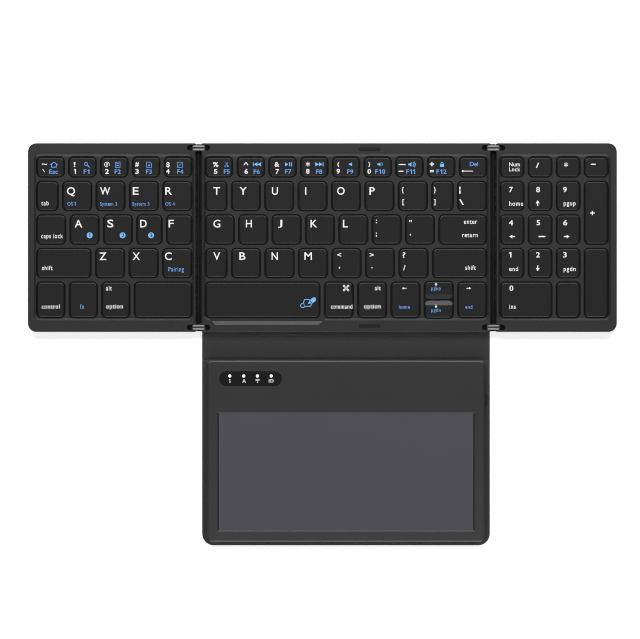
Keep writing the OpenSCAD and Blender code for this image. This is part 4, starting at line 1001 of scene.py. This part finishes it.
def sheet_outline(half, front, rear, radius, inset, front_free, rear_free):
    """Outline of a part of the cover. Free ends are drawn in with the sides; a joined end stays put."""
    side = half - inset
    low = front + (inset if front_free else 0)
    high = rear - (inset if rear_free else 0)
    points = []
    if front_free:
        r = radius - inset
        points += arc((-side + r, low + r), r, 180, 90, 10) + arc((side - r, low + r), r, 270, 90, 10)
    else:
        points += [(-side, low), (side, low)]
    if rear_free:
        r = 1.0 * MM
        points += arc((side - r, high - r), r, 0, 90, 6) + arc((-side + r, high - r), r, 90, 90, 6)
    else:
        points += [(side, high), (-side, high)]
    return points


def leather_sheet(name, half, front, rear, thickness, rounding, radius, front_free, rear_free):
    """Stiffened part of the cover with rounded edges: outlines stacked from the table up."""
    levels = []
    steps = 4
    for i in range(steps + 1):
        angle = math.radians(90 * i / steps)
        levels.append((rounding * (1 - math.sin(angle)), rounding * (1 - math.cos(angle))))
    levels += [(inset, thickness - z) for inset, z in reversed(levels)]
    rings = [[(x, y, z) for x, y in
              sheet_outline(half, front, rear, radius, inset, front_free, rear_free)] for inset, z in levels]
    count = len(rings[0])
    points = [p for ring in rings for p in ring]
    faces = [list(range(count))[::-1], list(range((len(rings) - 1) * count, len(rings) * count))]
    for i in range(len(rings) - 1):
        for j in range(count):
            a, b = i * count + j, i * count + (j + 1) % count
            faces.append([a, b, b + count, a + count])
    mesh = mesh_from(name, points, faces)
    smooth_by_angle(mesh)
    return mesh


def fold_strip(name, half, front, rear, thickness, rounding, groove, spread):
    """Soft stretch of the cover over a fold, pressed in along the middle and spreading to the rear."""
    rows = 25
    steps = 4
    ring = []
    for i in range(steps + 1):
        angle = math.radians(90 * i / steps)
        ring.append((half - rounding * (1 - math.sin(angle)), rounding * (1 - math.cos(angle))))
    ring += [(x, thickness - z) for x, z in reversed(ring)]
    ring += [(-x, z) for x, z in reversed(ring)]
    points, faces = [], []
    for i in range(rows):
        t = i / (rows - 1)
        y = front + (rear - front) * t
        dip = groove * math.exp(-((t - 0.5) / (spread if t > 0.5 else 0.07)) ** 2)
        points += [(x, y, z - dip if z > thickness / 2 else z) for x, z in ring]
    count = len(ring)
    for i in range(rows - 1):
        for j in range(count):
            a, b = i * count + j, i * count + (j + 1) % count
            faces.append([a, b, b + count, a + count])
    faces += [list(range(count))[::-1], list(range((rows - 1) * count, rows * count))]
    mesh = mesh_from(name, points, faces)
    smooth_by_angle(mesh)
    return mesh


class KEYBOARD_OT_wrap_cover(bpy.types.Operator):
    """Makes the leatherette cover: three stiff parts and the two soft folds between them"""
    bl_idname = "keyboard.wrap_cover"
    bl_label = "Wrap the cover"

    def execute(self, context):
        sizes = context.scene.keyboard_sizes
        back_low, back_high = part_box("back_cover")
        pad_low, pad_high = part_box("touchpad_cover")
        joints = {joint["name"]: joint for joint in frame["joints"]}
        near_y = joints["cover_fold"]["pos_m"][1]
        far_y = joints["touchpad_fold"]["pos_m"][1]
        leather = coated_leather("coated_leatherette", tuple(context.scene.keyboard_finishes.leather), near_y)
        # Painted light: the cover is lighter along its front edge, against the shade that falls there in front of
        # the touchpad housing.
        paint_light_along(leather, pad_low.y + 1.6 * MM, pad_low.y + 2.2 * MM, 1.7)
        half, thickness, rounding = back_high.x, back_high.z, sizes.leather_round
        reach = 2.6 * MM
        radius = 6.3 * MM
        parts = [("cover_under_keys", "centre", "back_cover", near_y + reach, back_high.y, False, True),
                 ("cover_middle", "flap", "cover_flap", far_y + reach, near_y - reach, False, False),
                 ("cover_under_touchpad", "touchpad", "touchpad_cover", pad_low.y, far_y - reach, True,
                  False)]
        for name, body, node, front, rear, front_free, rear_free in parts:
            mesh = leather_sheet(name, half, front, rear, thickness, rounding, radius, front_free, rear_free)
            piece = new_object(name, mesh, leather)
            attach(piece, body)
            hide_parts(node)
        for name, y, rear_body, front_body, groove, spread in [
                ("cover_fold_at_keys", near_y, "centre", "flap", 0.1 * MM, 0.07),
                ("cover_fold_at_touchpad", far_y, "flap", "touchpad", 0.45 * MM, 0.24)]:
            mesh = fold_strip(name, half, y - reach, y + reach, thickness, rounding, groove, spread)
            piece = new_object(name, mesh, leather)
            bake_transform(piece)
        return {"FINISHED"}


# Flat cables

def cable_strip(name, near, far, low, high):
    """Half of a flat cable, in short steps along X."""
    steps = 16
    points, faces = [], []
    for i in range(steps + 1):
        x = near + (far - near) * i / steps
        points += [(x, low.y, low.z), (x, high.y, low.z), (x, high.y, high.z), (x, low.y, high.z)]
    for i in range(steps):
        for j in range(4):
            a, b = i * 4 + j, i * 4 + (j + 1) % 4
            faces.append([a, b, b + 4, a + 4])
    faces += [[0, 1, 2, 3], [4 * steps + j for j in (3, 2, 1, 0)]]
    return mesh_from(name, points, faces)


class KEYBOARD_OT_lay_cables(bpy.types.Operator):
    """Lays the two flat cables, each in two halves"""
    bl_idname = "keyboard.lay_cables"
    bl_label = "Lay the flat cables"

    def execute(self, context):
        film = polymer_film("amber_polyimide_cable", "#5a3a1c")
        joints = {joint["name"]: joint for joint in frame["joints"]}
        for side in ("left", "right"):
            node, hinge, panel = f"{side}_flat_cable", f"{side}_hinge", f"{side}_panel"
            low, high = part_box(node)
            middle = (low.x + high.x) / 2
            inner = joints[f"{side}_hinge_turn"]["pos_m"][0]
            outer = joints[f"{side}_panel_fold"]["pos_m"][0]
            away = 1 if outer > inner else -1
            near, far = (low.x, high.x) if away > 0 else (high.x, low.x)
            halves = [("inner", near, middle, "centre", hinge, inner),
                      ("outer", middle, far, hinge, panel, outer)]
            for label, start, end, first, second, axis in halves:
                piece = new_object(f"{side}_cable_{label}_half",
                                   cable_strip(f"{side}_cable_{label}_half", start, end, low, high), film)
                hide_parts(node)
                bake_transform(piece)
        return {"FINISHED"}


# Repeated small parts, made with Geometry Nodes

def node_group(name, inputs):
    """New geometry node tree with the named inputs; returns the tree and its input node."""
    tree = bpy.data.node_groups.new(name, "GeometryNodeTree")
    for label, kind in inputs:
        tree.interface.new_socket(label, in_out="INPUT", socket_type=kind)
    tree.interface.new_socket("Geometry", in_out="OUTPUT", socket_type="NodeSocketGeometry")
    return tree, add(tree, "NodeGroupInput")


def close_tree(tree, geometry, material_socket):
    realised = add(tree, "GeometryNodeRealizeInstances", {"Geometry": geometry})
    painted = add(tree, "GeometryNodeSetMaterial",
                  {"Geometry": realised.outputs["Geometry"], "Material": material_socket})
    add(tree, "NodeGroupOutput", {"Geometry": painted.outputs["Geometry"]})


def row_tree(name, shape, settings):
    """Tree that repeats one small shape along a straight row."""
    tree, given = node_group(name, [("Count", "NodeSocketInt"), ("Start", "NodeSocketVector"),
                                    ("Step", "NodeSocketVector"), ("Radius", "NodeSocketFloat"),
                                    ("Length", "NodeSocketFloat"), ("Turn", "NodeSocketVector"),
                                    ("Material", "NodeSocketMaterial")])
    line = add(tree, "GeometryNodeMeshLine", {"Count": given.outputs["Count"],
                                              "Start Location": given.outputs["Start"],
                                              "Offset": given.outputs["Step"]}, mode="OFFSET")
    solid = add(tree, shape, {"Radius": given.outputs["Radius"], "Depth": given.outputs["Length"],
                              "Vertices": settings["sides"]})
    turned = add(tree, "GeometryNodeTransform", {"Geometry": solid.outputs["Mesh"],
                                                 "Rotation": given.outputs["Turn"]})
    copies = add(tree, "GeometryNodeInstanceOnPoints", {"Points": line.outputs["Mesh"],
                                                        "Instance": turned.outputs["Geometry"]})
    close_tree(tree, copies.outputs["Instances"], given.outputs["Material"])
    return tree


def row_of(name, tree, values, material):
    """One plain mesh from a row tree, with the modifier's inputs set by their identifiers."""
    piece = bpy.data.objects.new(name, bpy.data.meshes.new(name))
    modifier = piece.modifiers.new("row", "NODES")
    modifier.node_group = tree
    sockets = {item.name: item.identifier for item in tree.interface.items_tree if item.in_out == "INPUT"}
    for label, value in values.items():
        modifier[sockets[label]] = value
    modifier[sockets["Material"]] = material
    bpy.context.scene.collection.objects.link(piece)
    bake(piece)
    smooth_by_angle(piece.data)
    return piece


def join(name, pieces):
    """Joins plain meshes into one object."""
    shell = bmesh.new()
    materials = pieces[0].data.materials[:]
    for piece in pieces:
        shell.from_mesh(piece.data)
    mesh = bpy.data.meshes.new(name)
    shell.to_mesh(mesh)
    shell.free()
    for piece in pieces:
        bpy.data.objects.remove(piece)
    return new_object(name, mesh, materials[0])


class KEYBOARD_OT_rib_feet(bpy.types.Operator):
    """Makes the rubber feet: a strip with fine ribs that meet the table"""
    bl_idname = "keyboard.rib_feet"
    bl_label = "Rib the feet"

    def execute(self, context):
        sizes = context.scene.keyboard_sizes
        rubber = soft_rubber("ribbed_silicone_foot")
        ribs = row_tree("foot_ribs", "GeometryNodeMeshCylinder", {"sides": 12})
        for side in ("left", "right"):
            strips = []
            for number, (low, high) in enumerate(caps_of(f"{side}_feet")):
                base = leather_sheet(f"{side}_foot_{number}", (high.x - low.x) / 2, low.y, high.y,
                                     high.z - sizes.foot_rib, 0.15 * MM, 2.4 * MM, True, True)
                base.transform(Matrix.Translation(((low.x + high.x) / 2, 0, sizes.foot_rib)))
                strips.append(new_object(base.name, base, rubber))
                run = high.y - low.y - 3 * sizes.foot_pitch
                count = int(run / sizes.foot_pitch) + 1
                width = high.x - low.x - 1.2 * MM
                values = {"Count": count, "Radius": sizes.foot_rib, "Length": width,
                          "Start": ((low.x + high.x) / 2, low.y + 1.5 * sizes.foot_pitch, sizes.foot_rib),
                          "Step": (0, run / (count - 1), 0), "Turn": (0, math.pi / 2, 0)}
                strips.append(row_of(f"{side}_foot_ribs_{number}", ribs, values, rubber))
            piece = join(f"{side}_ribbed_feet", strips)
            smooth_by_angle(piece.data)
            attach(piece, f"{side}_panel")
            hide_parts(f"{side}_feet")
        return {"FINISHED"}


class KEYBOARD_OT_light_indicators(bpy.types.Operator):
    """Makes the four indicator lenses and the marks under them"""
    bl_idname = "keyboard.light_indicators"
    bl_label = "Light the indicators"

    def execute(self, context):
        low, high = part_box("indicator_window")
        pitch = 7.5 * MM
        first = (low.x + high.x) / 2 - 1.5 * pitch
        lens_y = high.y - 2.5 * MM
        thickness = 0.04 * MM
        lenses = row_tree("indicator_row", "GeometryNodeMeshCylinder", {"sides": 32})
        values = {"Count": 4, "Radius": 0.86 * MM, "Length": thickness,
                  "Start": (first, lens_y, high.z + thickness / 2), "Step": (pitch, 0, 0),
                  "Turn": (0, 0, 0)}
        piece = row_of("indicator_lenses", lenses, values, lamp_lens("frosted_lamp_lens"))
        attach(piece, "touchpad")
        shell = bmesh.new()
        top = high.z + 0.02 * MM
        label_y = high.y - 4.2 * MM
        add_line(shell, "1", 2.0 * MM, 0.03, first - 0.5 * MM, label_y, high.z, top)
        add_line(shell, "A", 2.0 * MM, 0.03, first + pitch - 0.75 * MM, label_y, high.z, top)
        waves = ([circle_points(1.1, 0.35, 0.35, 12)]
                 + stroke(circle_points(1.1, 0.35, 1.0, 8, 40, 100), 0.3)
                 + stroke(circle_points(1.1, 0.35, 1.65, 8, 40, 100), 0.3))
        add_shapes(shell, waves, first + 2 * pitch - 1.1 * MM, label_y, 2.0, high.z, top)
        cell = (stroke([(0.15, 0.3), (2.3, 0.3), (2.3, 1.6), (0.15, 1.6)], 0.3, True)
                + [[(2.45, 0.65), (2.8, 0.65), (2.8, 1.25), (2.45, 1.25)],
                   [(0.5, 0.65), (1.3, 0.65), (1.3, 1.25), (0.5, 1.25)]])
        add_shapes(shell, cell, first + 3 * pitch - 1.4 * MM, label_y, 1.9, high.z, top)
        bmesh.ops.recalc_face_normals(shell, faces=shell.faces)
        mesh = bpy.data.meshes.new("indicator_marks")
        shell.to_mesh(mesh)
        shell.free()
        marks = new_object("indicator_marks", mesh, ink("white_window_print", linear("#e9e9e9")))
        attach(marks, "touchpad")
        return {"FINISHED"}


# Stage

def floor_material(fold_x, fold_half):
    """Matt white paper: pale for the eye, with the object's soft shadow left on it."""
    material = bpy.data.materials.new("studio_paper")
    material.use_nodes = True
    tree = material.node_tree
    tree.nodes.clear()
    at = add(tree, "ShaderNodeTexCoord").outputs["Object"]
    fibre = noise(tree, at, 2 * MM, 3.0)
    paper = add(tree, "ShaderNodeMapRange", {"Value": fibre.outputs["Fac"], "To Min": 0.78, "To Max": 0.8})
    eye = add(tree, "ShaderNodeLightPath").outputs["Is Camera Ray"]
    # The paper is dark for reflections, like the table of a studio that is draped in black.
    shade = add(tree, "ShaderNodeMix", {0: eye, 2: 0.15, 3: paper.outputs["Result"]}, data_type="FLOAT")
    diffuse = add(tree, "ShaderNodeBsdfDiffuse", {"Color": shade.outputs[0]})
    # The lift for the eye stops under the fold lines, where no light reaches the paper.
    place = add(tree, "ShaderNodeSeparateXYZ", {"Vector": at})
    aside = add(tree, "ShaderNodeMath", {0: place.outputs["X"]}, operation="ABSOLUTE")
    from_fold = add(tree, "ShaderNodeMath", {0: aside.outputs["Value"], 1: fold_x, 2: 1.6 * MM},
                    operation="COMPARE")
    along = add(tree, "ShaderNodeMath", {0: place.outputs["Y"], 1: 0.0, 2: fold_half}, operation="COMPARE")
    under = add(tree, "ShaderNodeMath", {0: from_fold.outputs["Value"], 1: along.outputs["Value"]},
                operation="MULTIPLY")
    open_floor = add(tree, "ShaderNodeMath", {0: 1.0, 1: under.outputs["Value"]}, operation="SUBTRACT")
    seen = add(tree, "ShaderNodeMath", {0: eye, 1: open_floor.outputs["Value"]},
               operation="MULTIPLY")
    lift = add(tree, "ShaderNodeMath", {0: seen.outputs["Value"], 1: 0.6}, operation="MULTIPLY")
    glow = add(tree, "ShaderNodeEmission", {"Color": (1, 1, 1, 1), "Strength": lift.outputs["Value"]})
    both = add(tree, "ShaderNodeAddShader", {0: diffuse.outputs["BSDF"], 1: glow.outputs["Emission"]})
    add(tree, "ShaderNodeOutputMaterial", {"Surface": both.outputs["Shader"]})
    return material


def softbox(name, position, target, width, depth, power):
    lamp = bpy.data.lights.new(name, "AREA")
    lamp.shape = "RECTANGLE"
    lamp.size = width
    lamp.size_y = depth
    lamp.energy = power
    holder = bpy.data.objects.new(name, lamp)
    bpy.context.scene.collection.objects.link(holder)
    holder.location = position
    holder.rotation_euler = (Vector(target) - Vector(position)).to_track_quat("-Z", "Y").to_euler()
    return holder


class KEYBOARD_OT_set_stage(bpy.types.Operator):
    """Sets the floor, the softboxes, the sky and the camera straight above"""
    bl_idname = "keyboard.set_stage"
    bl_label = "Set the stage"

    def execute(self, context):
        scene = context.scene
        studio = scene.keyboard_studio
        scene.view_settings.view_transform = "Standard"
        scene.cycles.filter_width = 1.0
        half = 3.0
        floor_mesh = mesh_from("studio_floor", [(-half, -half, 0), (half, -half, 0), (half, half, 0),
                                                (-half, half, 0), (-half, -half, -0.01),
                                                (half, -half, -0.01), (half, half, -0.01),
                                                (-half, half, -0.01)],
                               [[0, 1, 2, 3], [7, 6, 5, 4], [0, 4, 5, 1], [1, 5, 6, 2], [2, 6, 7, 3],
                                [3, 7, 4, 0]])
        low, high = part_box("left_hinge_spine")
        floor = new_object("studio_floor", floor_mesh, floor_material(-(low.x + high.x) / 2, high.y))
        centre = (studio.centre_x, studio.centre_y, 0)
        softbox("rear_softbox", (0, 0.62, 0.74), centre, 1.3, 0.28, studio.rear_power)
        softbox("rear_strip", (0, 1.2, 0.36), centre, 1.6, 0.12, studio.strip_power)
        softbox("front_softbox", (0, -0.98, 0.36), centre, 1.3, 0.22, studio.front_power)
        self.make_sky(scene, studio.sky)
        lens = bpy.data.cameras.new("camera")
        lens.sensor_width = 36
        lens.lens = 36 * studio.camera_height / studio.frame_width
        lens.clip_end = 20
        camera = bpy.data.objects.new("camera", lens)
        scene.collection.objects.link(camera)
        camera.location = (studio.centre_x, studio.centre_y, studio.camera_height)
        scene.camera = camera
        return {"FINISHED"}

    def make_sky(self, scene, strength):
        """Pale grey light overhead, black flags to the left and right; the eye sees white."""
        world = bpy.data.worlds.new("studio")
        scene.world = world
        world.use_nodes = True
        tree = world.node_tree
        tree.nodes.clear()
        path = add(tree, "ShaderNodeLightPath")
        seen = add(tree, "ShaderNodeMath", {0: path.outputs["Is Camera Ray"],
                                            1: path.outputs["Is Transmission Ray"]}, operation="MAXIMUM")
        toward = add(tree, "ShaderNodeTexCoord").outputs["Generated"]
        across = add(tree, "ShaderNodeSeparateXYZ", {"Vector": toward}).outputs["X"]
        aside = add(tree, "ShaderNodeMath", {0: across}, operation="ABSOLUTE")
        open_sky = add(tree, "ShaderNodeMapRange", {"Value": aside.outputs["Value"], "From Min": 0.35,
                                                    "From Max": 0.8, "To Min": strength,
                                                    "To Max": 0.1 * strength})
        dim = add(tree, "ShaderNodeBackground", {"Color": (1, 1, 1, 1),
                                                 "Strength": open_sky.outputs["Result"]})
        white = add(tree, "ShaderNodeBackground", {"Color": (1, 1, 1, 1), "Strength": 1.0})
        mix = add(tree, "ShaderNodeMixShader", {0: seen.outputs["Value"], 1: dim.outputs["Background"],
                                                2: white.outputs["Background"]})
        add(tree, "ShaderNodeOutputWorld", {"Surface": mix.outputs["Shader"]})


class KEYBOARD_PT_panel(bpy.types.Panel):
    bl_idname = "KEYBOARD_PT_panel"
    bl_label = "Folding keyboard"
    bl_space_type = "VIEW_3D"
    bl_region_type = "UI"
    bl_category = "Keyboard"

    def draw(self, context):
        for operator in OPERATORS:
            self.layout.operator(operator.bl_idname)
        for name in ("keyboard_finishes", "keyboard_sizes", "keyboard_studio"):
            group = getattr(context.scene, name)
            for label in group.bl_rna.properties.keys():
                if label not in ("rna_type", "name"):
                    self.layout.prop(group, label)


OPERATORS = (KEYBOARD_OT_set_stage, KEYBOARD_OT_mould_cases, KEYBOARD_OT_mould_keys, KEYBOARD_OT_fit_metal,
             KEYBOARD_OT_fit_inside, KEYBOARD_OT_spring_keys, KEYBOARD_OT_print_legends,
             KEYBOARD_OT_wrap_cover, KEYBOARD_OT_lay_cables, KEYBOARD_OT_rib_feet,
             KEYBOARD_OT_light_indicators)
GROUPS = (KeyboardFinishes, KeyboardSizes, KeyboardStudio)


def register():
    for item in (*GROUPS, *OPERATORS, KEYBOARD_PT_panel):
        bpy.utils.register_class(item)
    bpy.types.Scene.keyboard_finishes = PointerProperty(type=KeyboardFinishes)
    bpy.types.Scene.keyboard_sizes = PointerProperty(type=KeyboardSizes)
    bpy.types.Scene.keyboard_studio = PointerProperty(type=KeyboardStudio)


def unregister():
    del bpy.types.Scene.keyboard_studio
    del bpy.types.Scene.keyboard_sizes
    del bpy.types.Scene.keyboard_finishes
    for item in reversed((*GROUPS, *OPERATORS, KEYBOARD_PT_panel)):
        bpy.utils.unregister_class(item)


def main():
    register()
    for operator in OPERATORS:
        group, name = operator.bl_idname.split(".")
        getattr(getattr(bpy.ops, group), name)()


if __name__ == "__main__":
    main()
